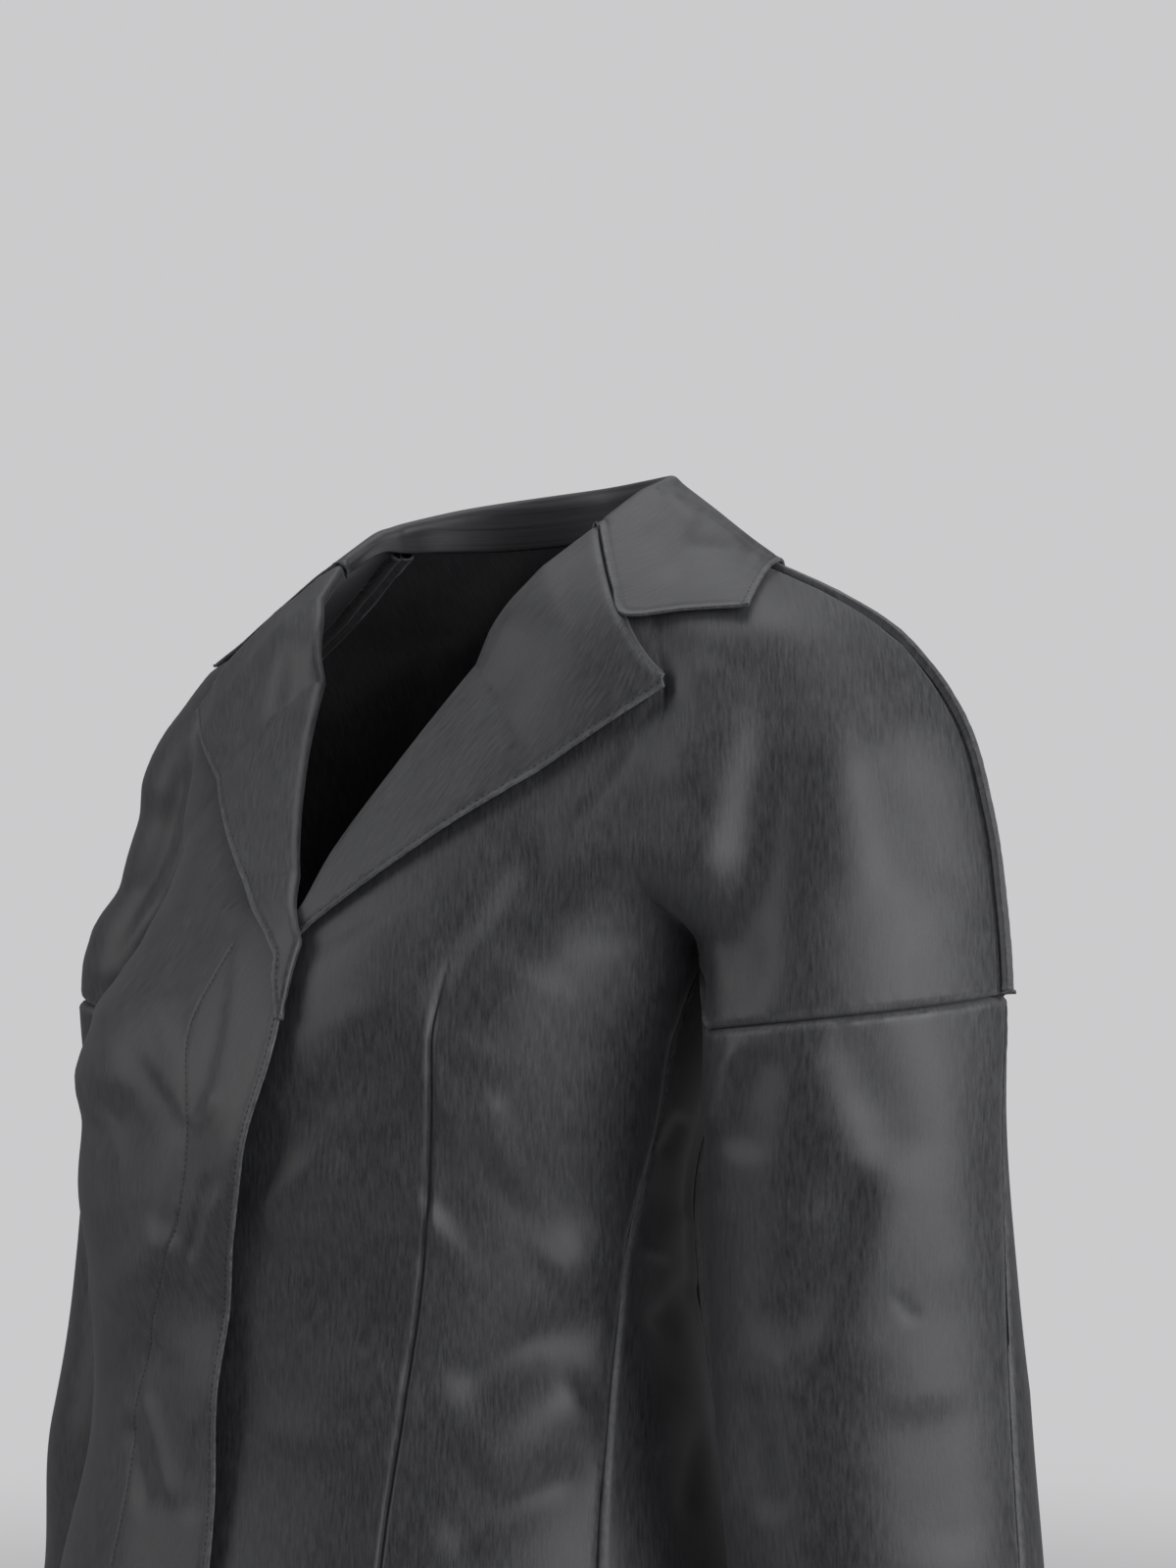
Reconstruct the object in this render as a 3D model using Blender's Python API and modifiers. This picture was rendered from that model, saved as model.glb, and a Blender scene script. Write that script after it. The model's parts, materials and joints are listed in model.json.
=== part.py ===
"""Blazer, as it is worn: cut and sewn cloth panels, right front over left, hollow and open.

Metres, +Z up. +X is the wearer's left, the fronts face -Y, and the origin lies between the two
points where the shoulders meet the neck. The tables are in centimetres. Each cut piece is an
open sheet on the garment's form, and Solidify gives it the cloth's thickness.
"""
import math

import bmesh
import bpy
import numpy as np

CM = 0.01
WALL = 0.16            # cloth with its interlining
GAP = 0.03             # between the edges of two sewn pieces
SLIT = -19.5           # top of the slit under each arm
HEM = -61.0
CUFF = -59.5
TURN = 13.0            # degrees that the waist is turned towards the wearer's left
TURN_RUN = 12.0        # height over which it turns
SHOULDER_TILT = 1.5    # degrees, left shoulder higher
SQUARE_ARM = 3.2       # squareness of the inner side of the upper arm
FALL_AWAY = 4.0        # how steeply the body's section drops back past its side
FILLET_RUN = 3.0       # distance from the overarm seam over which the rounding fades
NORMAL_STEP = 0.02     # half the span over which a surface's slope is taken

# The body part of the garment: level sections about (cx, cy).
BODY = dict(
    z=[3.0, 0.0, -3.0, -6.0, -12.0, -18.0, -24.0, -30.0, -36.0, -42.0, -48.0, -54.0, -61.0],
    cx=[0.0, 0.0, 0.0, 0.0, -0.1, -0.4, -1.8, -2.8, -2.6, -2.2, -2.0, -2.0, -2.0],
    cy=[0.0, 0.0, -0.5, -1.0, -2.0, -3.4, -5.2, -6.0, -5.9, -5.8, -5.9, -6.0, -6.0],
    wide=[7.0, 7.9, 11.0, 13.6, 15.2, 15.2, 14.8, 14.4, 14.0, 14.5, 16.0, 17.2, 18.2],
    front=[2.6, 3.2, 4.3, 5.8, 8.8, 11.0, 11.5, 10.9, 10.2, 10.3, 11.2, 12.0, 12.6],
    back=[6.0, 7.0, 8.0, 9.0, 10.4, 11.4, 11.8, 11.2, 10.8, 11.2, 12.6, 13.8, 14.4],
    square=[2.0, 2.0, 2.1, 2.2, 2.3, 2.3, 2.3, 2.3, 2.3, 2.3, 2.3, 2.3, 2.3],
    square_back=[2.0, 2.0, 2.1, 2.2, 2.3, 2.3, 2.6, 2.9, 2.9, 2.7, 2.5, 2.4, 2.4],
)
# Shoulder, upper arm and sleeve: tip is the outermost point, ridge the overarm seam's y.
ARM = dict(
    z=[0.5, 0.0, -1.0, -2.0, -3.0, -4.0, -5.0, -6.0, -8.0, -10.0, -14.0, -18.0, -21.4,
       -26.0, -32.0, -38.0, -46.0, -60.0],
    tip=[7.0, 8.5, 10.4, 12.2, 14.1, 16.2, 18.1, 19.7, 21.8, 23.3, 24.8, 25.6, 26.0,
         26.1, 26.3, 26.5, 27.0, 28.0],
    ridge=[0.8, 0.9, 1.2, 1.5, 1.9, 2.2, 2.4, 2.6, 2.8, 2.8, 2.7, 2.5, 2.3,
           1.9, 1.5, 1.1, 0.5, -0.6],
    outer=[7.5, 7.5, 7.5, 7.5, 7.5, 7.5, 7.5, 7.5, 7.2, 7.0, 6.7, 6.4, 6.2,
           6.2, 6.2, 6.2, 6.2, 6.0],
    inner=[9.0, 9.0, 9.0, 9.0, 9.0, 9.0, 9.0, 9.0, 9.0, 9.0, 7.5, 5.2, 4.9,
           5.3, 5.9, 6.2, 6.2, 6.0],
    front=[4.2, 4.4, 5.2, 6.0, 6.8, 7.4, 8.0, 8.4, 8.8, 9.0, 9.1, 9.0, 8.9,
           8.4, 7.6, 7.2, 6.8, 6.4],
    back=[5.0, 5.0, 5.0, 4.8, 4.6, 4.5, 4.3, 4.2, 4.0, 4.0, 4.0, 4.0, 4.0,
          4.3, 4.8, 5.2, 5.8, 6.2],
)
# How far each sleeve hangs away from that form.
SWING = dict(
    z=[0.5, -13.0, -16.0, -19.5, -24.0, -28.0, -34.0, -40.0, -48.0, -60.0],
    left_x=[0.0, 0.0, 0.0, 0.0, 0.0, 0.0, 0.2, 0.5, 0.9, 1.2],
    left_y=[0.0, 0.0, 0.0, 0.0, 0.0, 0.0, 0.0, 0.0, 0.0, 0.0],
    right_x=[0.0, 0.0, 0.5, 1.7, 2.7, 3.3, 3.7, 3.8, 4.4, 5.1],
    right_y=[0.0, 0.0, 0.0, 0.3, 1.2, 2.0, 1.8, 1.4, 1.0, 0.6],
)
# Inner edge of each front above the slit: neck edge, then roll line, as a distance from x = 0.
ROLL = dict(
    z=[0.0, -1.35, -3.0, -4.5, -7.0, -11.0, -15.5, -18.5, -19.5],
    left=[8.3, 8.35, 7.6, 6.7, 5.5, 3.8, 2.0, 1.1, 0.3],
    right=[8.3, 8.35, 7.4, 6.3, 5.3, 3.4, 0.7, -1.1, -2.2],
)
# The same edges below the slit, in degrees round the turned section, + to the wearer's left.
EDGE = dict(
    z=[-23.0, -28.0, -30.6, -34.4, -40.0, -46.0, -54.0, -61.0],
    right=[16.0, 8.0, 3.7, -2.7, -8.5, -9.6, -9.6, -9.6],
    left=[0.0, -7.0, -11.3, -17.7, -23.5, -24.6, -24.6, -24.6],
)
# Seams of the side panel, in degrees round from the middle of the front.
SIDE = dict(
    z=[-24.0, -27.1, -31.4, -35.8, -41.6, -45.3, -53.0, -61.0],
    front=[91.0, 89.6, 82.6, 78.6, 72.0, 68.1, 64.0, 62.0],
    back=[116.0, 116.5, 117.0, 117.5, 118.0, 119.0, 121.0, 122.0],
)
# How far the lapping edge of the right front stands off the left front.
STAND_OFF = dict(
    z=[-16.5, -18.3, -20.0, -24.0, -27.5, -31.0, -34.5, -38.5, -43.0, -47.0, -61.0],
    edge=[0.0, 0.55, 0.55, 0.75, 1.3, 1.05, 0.6, 1.0, 0.7, 0.5, 0.5],
)
LAP_REST = 0.36        # stand-off where the fronts lap
LAP_WIDE = 4.2
LAP_RUN = 4.0          # width over which the right front settles back onto the form
LAP_TOP = -16.5        # height at which the fronts start to lap
LAP_TOP_RUN = 1.8

# Lapel corners as (distance from the centre, height) on the front.
LAPELS = dict(
    left=dict(top=(8.35, -1.4), notch=(12.6, -5.9), tip=(15.0, -8.8), end=(2.3, -18.6),
              roll_end=-18.2),
    right=dict(top=(8.35, -1.4), notch=(12.3, -5.2), tip=(15.4, -8.0), end=(-0.3, -19.2),
               roll_end=-18.4),
)
LAPEL_LIFT = 0.50      # above the front, at the middle of the lapel
LAPEL_END_LIFT = 0.36
ROLL_BULGE = 0.10
LAPEL_NOTCH_AT = 0.64  # share of the lapel's top edge that is sewn to the collar
FOLD_ROOM = 0.38       # from the roll line to the edge of the front inside the fold
FOLD_TOP_RUN = 1.3     # height over which that room opens below the neck point
FOLD_REACH = 0.3       # share of the lapel's width that the fold's bulge reaches
LAPEL_ROWS = 10
LAPEL_COLUMNS = (0.1, 0.28, 0.46, LAPEL_NOTCH_AT, 0.82, 1.0)
# Of the fold at the roll line: distance into the front and height over it.
TURN_PROFILE = dict(
    along=[0.28, 0.05, -0.09, 0.0],
    height=[0.16, 0.17, 0.27, 0.42],
)

# Collar stations from the gorge (first) to the middle of the back (last).
COLLAR = dict(
    neck=[-1.3, -0.7, -0.1, 8.2, 7.3, 5.8, 3.6, 0.0],       # z in front, then x behind
    crest_x=[8.35, 8.55, 8.5, 8.1, 7.0, 5.5, 3.4, 0.0],
    crest_y=[-3.4, -2.2, -0.6, 0.9, 3.0, 4.5, 5.7, 6.4],
    crest_z=[-0.85, 0.0, 0.9, 1.35, 2.0, 2.3, 2.5, 2.6],
    edge_x=[17.3, 16.4, 15.4, 14.4, 12.0, 9.0, 5.2, 0.0],
    edge_y=[-3.8, -1.9, 0.1, 2.2, 5.4, 7.6, 8.9, 9.3],
    edge_z=[-5.4, -4.3, -3.3, -2.8, -3.1, -3.7, -4.2, -4.5],
    fold=[0.14, 0.20, 0.26, 0.28, 0.30, 0.30, 0.30, 0.30],
)
FRONT_STATIONS = 3
STATIONS = [0.0, 0.5, 1.0, 1.5, 2.0, 2.5, 3.0, 3.7, 4.4, 5.2, 6.1, 7.0]
BACK_NECK_RISE = 0.4
NECK_RISE_RUN = 3.6    # depth over which that rise fades out down the back
LEAF_CLEAR = 0.5       # least height of the leaf over the shoulder
LEAF_CROWN = 0.35
LEAF_COLUMNS = (0.1, 0.26, 0.42, 0.6, 0.8, 1.0)
STAND_MIDDLE = 0.6
FOLD_ANGLES = (165, 80)
BACK_OF_NECK = 7.5     # half width in which the leaf hangs clear of the back
SOFT_FRONT = 0.2       # rounding where the leaf comes to rest in front, and behind
SOFT_BACK = 0.3
BORDER_REACH = 2.0     # stations over which the bent front border of the collar fades out
SEAM_STEP = 0.05       # between the lapel's top edge and the collar

# The seam round the upper arm and the slit: (distance from the centre, height) of its corner.
CORNER = dict(left=(17.1, -22.9), right=(18.9, -22.9))
CORNER_BACK = dict(left=(16.8, -22.6), right=(18.6, -22.6))
SLIT_X = dict(left=14.75, right=16.15)
SLIT_X_BACK = dict(left=13.6, right=14.9)
SEAM_OUTER = -21.6
ARMPIT = SLIT - 0.6
ARMPIT_CLEAR = 0.40
ARMPIT_RUN = 0.22      # share of the sleeve's length over which it leaves that edge
AT_CORNER = 112.0      # degrees round the sleeve: the seam's corner, and the slit's top
AT_SLIT = 150.0
SIDE_INSET = 0.15      # of the seam's top from the widest point of the body

BODY_COLUMNS = 6
BACK_COLUMNS = 5
ARM_COLUMNS = 6
SIDE_COLUMNS = 4
SLEEVE_COLUMNS = 9
SLEEVE_ROWS = 11
SLEEVE_CROWD = 1.15    # rows lie closer near the armpit
SEAM_DEGREES = 0.075   # half a seam's gap round the body
SLEEVE_ENDS = dict(front=(0.12, 179.5), back=(180.5, 359.88))
UPPER_ROWS = np.array([-0.06, -0.6, -1.35, -2.4, -3.6, -5.0, -6.6, -8.6, -10.8, -13.0, -15.2,
                       -17.2, -18.5, SLIT])
LOWER_ROWS = np.array([SLIT, -21.2, -23.4, -26.0, -28.6, -31.2, -34.0, -37.0, -40.0, -43.5,
                       -47.5, -52.0, -56.5, HEM])

CLOTH = (0.065, 0.066, 0.072, 1.0)
SIDES = (("left", 1), ("right", -1))


# ---------------------------------------------------------------- curves and sections

def curve(heights, values, z):
    """Smooth curve through a table's rows, read at height z."""
    heights = np.asarray(heights, float)[::-1]
    values = np.asarray(values, float)[::-1]
    z = np.clip(np.asarray(z, float), heights[0], heights[-1])
    row = np.clip(np.searchsorted(heights, z, side="right") - 1, 0, len(heights) - 2)
    step = np.diff(heights)
    slope = np.diff(values) / step
    tangent = np.empty(len(heights))
    tangent[0] = slope[0]
    tangent[-1] = slope[-1]
    tangent[1:-1] = (step[1:] * slope[:-1] + step[:-1] * slope[1:]) / (step[1:] + step[:-1])
    t = (z - heights[row]) / step[row]
    rise = t * t * (3 - 2 * t)
    lead = t * (1 - t) ** 2 * step[row] * tangent[row]
    trail = t * t * (t - 1) * step[row] * tangent[row + 1]
    return values[row] * (1 - rise) + values[row + 1] * rise + lead + trail


def read(table, column, z):
    return curve(table["z"], table[column], z)


def ease(t):
    t = np.clip(t, 0.0, 1.0)
    return t * t * (3 - 2 * t)


def mix(a, b, t):
    return a + (b - a) * t


def soft_max(a, b, width):
    """Larger of a and b, rounded over a width where they meet."""
    share = np.clip(0.5 + 0.5 * (a - b) / width, 0.0, 1.0)
    return mix(b, a, share) + width * share * (1 - share)


def fillet(z, room):
    """Rounding between body and arm: tight at the slit, none at the overarm seam."""
    width = np.interp(z, [SLIT, SLIT + 1.5, SLIT + 6.0, -6.0, 0.0], [0.4, 0.9, 3.0, 4.0, 2.0])
    return width * np.clip(room / FILLET_RUN, 0.01, 1.0)


def body_depth(x, z, side, column):
    """How far the body's section reaches from its centre at x, falling away past its side."""
    across = np.abs(x * side - read(BODY, "cx", z))
    wide = read(BODY, "wide", z)
    square = read(BODY, "square" if column == "front" else "square_back", z)
    share = np.clip(across / wide, 0.0, 1.0)
    depth = read(BODY, column, z) * (1 - share ** square) ** (1 / square)
    return depth - FALL_AWAY * np.maximum(across - wide, 0.0)


def tip(z, name):
    return read(ARM, "tip", z) + read(SWING, name + "_x", z)


def ridge(z, name):
    return read(ARM, "ridge", z) + read(SWING, name + "_y", z)


def point_back(z):
    """How pointed the back half is at the overarm seam: 1 is a ridge, 0.5 is round."""
    return np.interp(-np.asarray(z, float), [22.0, 38.0], [1.0, 0.5])


def arm_depth(x, z, name, column, sharp):
    edge = tip(z, name)
    outer = read(ARM, "outer", z)
    inner = read(ARM, "inner", z)
    near = np.clip((edge - x) / outer, 0.0, 1.0)
    far = np.clip((edge - outer - x) / inner, 0.0, 1.0)
    outside = (1 - (1 - near) ** 2) ** sharp
    inside = (1 - far ** SQUARE_ARM) ** (1 / SQUARE_ARM)
    return read(ARM, column, z) * np.where(x > edge - outer, outside, inside)


def front_y(x, z, name, side):
    body = body_depth(x, z, side, "front") - read(BODY, "cy", z)
    arm = arm_depth(x, z, name, "front", 0.5) - ridge(z, name)
    return -soft_max(body, arm, fillet(z, tip(z, name) - x))


def back_y(x, z, name, side):
    body = body_depth(x, z, side, "back") + read(BODY, "cy", z)
    arm = arm_depth(x, z, name, "back", point_back(z)) + ridge(z, name)
    return soft_max(body, arm, fillet(z, tip(z, name) - x))


def ring(angle, z, side):
    """Point of the body's section below the slit, at degrees round from the front."""
    angle = np.radians(angle) + 0 * z
    ahead = np.cos(angle) >= 0
    square = np.where(ahead, read(BODY, "square", z), read(BODY, "square_back", z))
    deep = np.where(ahead, read(BODY, "front", z), read(BODY, "back", z))
    across = np.abs(np.sin(angle)) / read(BODY, "wide", z)
    along = np.abs(np.cos(angle)) / deep
    reach = (across ** square + along ** square) ** (-1 / square)
    x = side * reach * np.sin(angle)
    y = -reach * np.cos(angle)
    turn = np.radians(TURN) * ease((SLIT - z) / TURN_RUN)
    return np.stack([read(BODY, "cx", z) + x * np.cos(turn) - y * np.sin(turn),
                     read(BODY, "cy", z) + x * np.sin(turn) + y * np.cos(turn),
                     z + 0 * angle], -1)


def sleeve_ring(angle, z, name, side):
    """Point of the sleeve's section: 0 outside, 90 front, 180 inside, 270 back."""
    angle = np.radians(angle) + 0 * z
    c = np.cos(angle)
    s = np.sin(angle)
    round_in = 2 / np.interp(-z, [22.0, 32.0, 46.0], [SQUARE_ARM, 2.3, 2.0])
    outside = c >= 0
    bend = np.where(s < 0, 2 * point_back(z), 1.0)
    across = np.where(outside, read(ARM, "outer", z) * c,
                      -read(ARM, "inner", z) * np.abs(c) ** round_in)
    deep = np.where(s >= 0, read(ARM, "front", z), read(ARM, "back", z))
    along = deep * np.sign(s) * np.where(outside, np.abs(s) ** bend, np.abs(s) ** round_in)
    x = tip(z, name) - read(ARM, "outer", z) + across
    return np.stack([side * x, ridge(z, name) - along, z + 0 * angle], -1)


def moved_out(surface, a, b, distance, facing):
    """surface(a, b) moved along its own normal."""
    along_a = surface(a + NORMAL_STEP, b) - surface(a - NORMAL_STEP, b)
    along_b = surface(a, b + NORMAL_STEP) - surface(a, b - NORMAL_STEP)
    normal = np.cross(along_a, along_b)
    normal /= np.linalg.norm(normal, axis=-1, keepdims=True)
    return surface(a, b) + facing * np.asarray(distance)[..., None] * normal


def lap(gap_from_edge, z, name):
    """Stand-off of the right front at a distance from its own edge."""
    if name == "left":
        return 0.0 * gap_from_edge
    start = ease((LAP_TOP - z) / LAP_TOP_RUN)
    rest = LAP_REST * start * ease((LAP_WIDE + LAP_RUN - gap_from_edge) / LAP_RUN)
    extra = np.maximum(read(STAND_OFF, "edge", z) - LAP_REST * start, 0.0)
    return rest + extra * ease((LAP_WIDE - gap_from_edge) / LAP_WIDE)


def front(x, z, name, side, out=0.0):
    """Point of a front above the slit, moved out from the cloth."""
    x = np.asarray(x, float) + 0 * z
    z = np.asarray(z, float) + 0 * x

    def surface(a, b):
        return np.stack([side * a, front_y(a, b, name, side), b + 0 * a], -1)

    return moved_out(surface, x, z, lap(x - read(ROLL, name, z), z, name) + out, side)


def tongue_front(angle, z, name, side):
    """Point of a front below the slit; angle is measured away from the other front."""
    radius = read(BODY, "front", z)
    gap_from_edge = np.radians(angle - edge_angle(z, name, side)) * radius
    return moved_out(lambda a, b: ring(a, b, side), angle, z, lap(gap_from_edge, z, name), side)


def angle_at_slit(x, y, side):
    return math.degrees(math.atan2(x - side * float(read(BODY, "cx", SLIT)),
                                   float(read(BODY, "cy", SLIT)) - y))


def edge_angle(z, name, side):
    x = float(read(ROLL, name, SLIT))
    top = angle_at_slit(x, float(front_y(x, SLIT, name, side)), side)
    return curve([SLIT] + EDGE["z"], [top] + [side * a for a in EDGE[name]], z)


def seam_angle(z, name, side, column):
    x = (SLIT_X if column == "front" else SLIT_X_BACK)[name]
    shape = front_y if column == "front" else back_y
    top = angle_at_slit(min(x, body_side(side) - SIDE_INSET), float(shape(x, SLIT, name, side)), side)
    return curve([SLIT] + SIDE["z"], [top] + SIDE[column], z)


def body_side(side):
    return float(read(BODY, "wide", SLIT) + side * read(BODY, "cx", SLIT))


# ---------------------------------------------------------------- sheets and solids

def hang(points):
    """The garment hangs with its left shoulder a little higher."""
    points = np.array(points, float)
    share = np.interp(points[..., 2], [-60.0, -30.0, 0.0], [0.0, 0.3, 1.0])
    points[..., 2] += math.sin(math.radians(SHOULDER_TILT)) * points[..., 0] * share
    return points * CM


def cloth_material(name):
    material = bpy.data.materials.new(name)
    material.use_nodes = True
    shader = material.node_tree.nodes["Principled BSDF"]
    shader.inputs["Base Color"].default_value = CLOTH
    shader.inputs["Roughness"].default_value = 0.55
    shader.inputs["Metallic"].default_value = 0.0
    return material


def sheet(collection, name, grids, flip):
    """One cut piece: grids of points sharing their borders, thickened outwards."""
    cloth = bmesh.new()
    for grid in grids:
        points = hang(grid)
        verts = [[cloth.verts.new(p) for p in row] for row in points]
        for upper, lower in zip(verts, verts[1:]):
            for j in range(len(upper) - 1):
                corners = [upper[j], lower[j], lower[j + 1], upper[j + 1]]
                cloth.faces.new(corners[::-1] if flip else corners)
    bmesh.ops.remove_doubles(cloth, verts=cloth.verts, dist=0.00002)
    mesh = bpy.data.meshes.new(name)
    cloth.to_mesh(mesh)
    cloth.free()
    mesh.shade_smooth()
    piece = bpy.data.objects.new(name, mesh)
    piece.data.materials.append(cloth_material(name + "_cloth"))
    collection.objects.link(piece)
    wall = piece.modifiers.new("wall", "SOLIDIFY")
    wall.thickness = WALL * CM
    wall.offset = 1.0
    wall.use_quality_normals = True
    return piece


def upper_columns(name, start, slit_x, body_cols):
    """x of each column above the slit, from the inner edge over the slit line to the tip."""
    end = tip(UPPER_ROWS, name)
    line = mix(start, end, (slit_x - start[-1]) / (end[-1] - start[-1]))
    body = [mix(start, line, j / body_cols) for j in range(body_cols)]
    fan = np.sin(0.5 * np.pi * np.linspace(0, 1, ARM_COLUMNS + 1))
    return np.stack(body + [mix(line, end, share) for share in fan], -1)


def column_angles(columns, shape, name, side):
    """Degrees round the body at which the columns cross the slit's height."""
    depth = shape(columns, SLIT, name, side)
    return np.array([angle_at_slit(x, float(y), side) for x, y in zip(columns, depth)])


def arm_tongue(top_x, name, corner, surface):
    """Grid of the shoulder extension between the slit and the seam round the upper arm."""
    across = np.linspace(0, 1, len(top_x))
    foot_z = mix(corner[1], SEAM_OUTER, across)
    foot_x = mix(corner[0], float(tip(SEAM_OUTER, name)), np.sin(0.5 * np.pi * across))
    rows = []
    for t in (0.0, 0.5, 1.0):
        z = mix(SLIT, foot_z, t)
        x = mix(top_x, foot_x, t)
        x[-1] = tip(z[-1], name)
        rows.append(surface(x, z))
    return np.stack(rows)


def arm_half(column, name, side):
    """Surface of the upper arm in front or behind, as a function of x and height."""
    way = -1 if column == "front" else 1

    def surface(x, z):
        sharp = 0.5 if column == "front" else point_back(z)
        y = ridge(z, name) + way * arm_depth(x, z, name, column, sharp)
        return np.stack([side * x, y, z], -1)

    return surface


def build_front(collection, name, side):
    start = read(ROLL, name, UPPER_ROWS)
    start = start + FOLD_ROOM * ease(-UPPER_ROWS / FOLD_TOP_RUN) * ease(UPPER_ROWS - SLIT)
    x = upper_columns(name, start, SLIT_X[name], BODY_COLUMNS)
    upper = front(x, UPPER_ROWS[:, None] + 0 * x, name, side)
    upper[:, -1, 1] = ridge(UPPER_ROWS, name) - 0.5 * GAP

    first = edge_angle(LOWER_ROWS, name, side)[:, None]
    last = seam_angle(LOWER_ROWS, name, side, "front")[:, None]
    at_top = np.append(column_angles(x[-1, :BODY_COLUMNS], front_y, name, side), last[0])
    share = (at_top - first[0]) / (last[0] - first[0])
    angle = mix(first, last - SEAM_DEGREES, share[None, :])
    lower = tongue_front(angle, LOWER_ROWS[:, None] + 0 * angle, name, side)
    lower[0] = upper[-1, :BODY_COLUMNS + 1]

    arm = arm_tongue(x[-1, BODY_COLUMNS:], name, CORNER[name], arm_half("front", name, side))
    arm[0] = upper[-1, BODY_COLUMNS:]
    arm[:, -1, 1] -= 0.5 * GAP
    return sheet(collection, "front_" + name, [upper, lower, arm], side < 0)


def build_back(collection):
    grids = []
    for name, side in SIDES:
        x = upper_columns(name, 0 * UPPER_ROWS, SLIT_X_BACK[name], BACK_COLUMNS)
        z = UPPER_ROWS[:, None] + 0 * x
        rise = 1 - (x / tip(z, name)) ** 2
        rise *= BACK_NECK_RISE * ease((NECK_RISE_RUN + z) / NECK_RISE_RUN)
        y = back_y(x, z, name, side)
        y[:, -1] = ridge(UPPER_ROWS, name) + 0.5 * GAP
        upper = np.stack([side * x, y, z + rise], -1)

        last = seam_angle(LOWER_ROWS, name, side, "back")[:, None] + SEAM_DEGREES
        at_top = np.append(column_angles(x[-1, :BACK_COLUMNS], back_y, name, side), last[0])
        share = (180 - at_top) / (180 - last[0])
        share[0] = 0.0
        angle = mix(180.0, last, share[None, :])
        lower = ring(angle, LOWER_ROWS[:, None] + 0 * angle, side)
        lower[0] = upper[-1, :BACK_COLUMNS + 1]

        arm = arm_tongue(x[-1, BACK_COLUMNS:], name, CORNER_BACK[name], arm_half("back", name, side))
        arm[0] = upper[-1, BACK_COLUMNS:]
        arm[:, -1, 1] += 0.5 * GAP
        for grid in (upper, lower, arm):
            grids.append(grid if side > 0 else grid[:, ::-1])
    return sheet(collection, "back", grids, True)


def build_side_panel(collection, name, side):
    rows = LOWER_ROWS.copy()
    rows[0] -= 5 * GAP
    first = seam_angle(rows, name, side, "front")[:, None] + SEAM_DEGREES
    last = seam_angle(rows, name, side, "back")[:, None] - SEAM_DEGREES
    angle = mix(first, last, np.linspace(0, 1, SIDE_COLUMNS)[None, :])
    grid = ring(angle, rows[:, None] + 0 * angle, side)
    return sheet(collection, "side_panel_" + name, [grid], side < 0)


def sleeve_top(angle, name, side):
    """Top edge of the sleeve: seam round the arm, slit edge, then the armpit."""
    if AT_SLIT < angle < 360 - AT_SLIT:
        ends = [float(seam_angle(ARMPIT, name, side, column)) for column in ("front", "back")]
        around = mix(ends[0], ends[1], (angle - AT_SLIT) / (360 - 2 * AT_SLIT))
        clear = np.array(2 * WALL + GAP + ARMPIT_CLEAR)
        return moved_out(lambda p, q: ring(p, q, side), np.array(around), np.array(ARMPIT),
                         clear, side)
    in_front = angle <= 180
    corner_x, corner_z = (CORNER if in_front else CORNER_BACK)[name]
    slit_x = (SLIT_X if in_front else SLIT_X_BACK)[name]
    turned = angle if in_front else 360 - angle
    if turned <= AT_CORNER:
        share = 1 - turned / AT_CORNER
        z = mix(corner_z, SEAM_OUTER, share)
        x = mix(corner_x, float(tip(z, name)), math.sin(0.5 * math.pi * share))
    else:
        share = (turned - AT_CORNER) / (AT_SLIT - AT_CORNER)
        z = mix(corner_z, ARMPIT, share)
        x = mix(corner_x, slit_x, (z - corner_z) / (SLIT - corner_z))
    point = arm_half("front" if in_front else "back", name, side)(np.array(x), np.array(z))
    point[2] -= 2 * GAP
    return point


def build_sleeve(collection, name, side, half):
    columns = []
    for angle in np.linspace(*SLEEVE_ENDS[half], SLEEVE_COLUMNS):
        top = sleeve_top(angle, name, side)
        down = np.linspace(0, 1, SLEEVE_ROWS) ** SLEEVE_CROWD
        line = sleeve_ring(angle, mix(top[2], CUFF, down), name, side)
        line += (1 - ease(down / ARMPIT_RUN))[:, None] * (top - line[0])
        columns.append(line)
    return sheet(collection, f"sleeve_{half}_{name}", [np.stack(columns, 1)], side > 0)


def lapel_point(u, v, name, side):
    """u runs from the roll line (0) to the outer edge (1), v from the gorge to the lower end."""
    spec = LAPELS[name]
    roll_z = mix(spec["top"][1], spec["roll_end"], v)
    roll_x = float(read(ROLL, name, roll_z))
    if v == 0:
        start, end = ((roll_x, roll_z), spec["notch"])
        share = u / LAPEL_NOTCH_AT
        if u > LAPEL_NOTCH_AT:
            start, end = (spec["notch"], spec["tip"])
            share = (u - LAPEL_NOTCH_AT) / (1 - LAPEL_NOTCH_AT)
        x, z = (mix(p, q, share) for p, q in zip(start, end))
    else:
        edge_x, edge_z = (mix(p, q, v) for p, q in zip(spec["tip"], spec["end"]))
        x, z = mix(roll_x, edge_x, u), mix(roll_z, edge_z, u)
    bulge = ROLL_BULGE * math.exp(-(u / FOLD_REACH) ** 2) * (1 - v)
    return x, z, mix(LAPEL_LIFT, LAPEL_END_LIFT, v ** 2) + bulge


def build_lapel(collection, name, side):
    rows = []
    for v in np.linspace(0, 1, LAPEL_ROWS):
        row = []
        for along, height in zip(TURN_PROFILE["along"], TURN_PROFILE["height"]):
            x, z, lift = lapel_point(0.0, v, name, side)
            squeeze = lift / LAPEL_LIFT
            row.append(front(x + along, z, name, side, WALL + (height - WALL) * squeeze))
        for u in LAPEL_COLUMNS:
            x, z, lift = lapel_point(u, v, name, side)
            row.append(front(x, z, name, side, lift))
        rows.append(row)
    return sheet(collection, "lapel_" + name, [np.array(rows)], side < 0)


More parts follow.
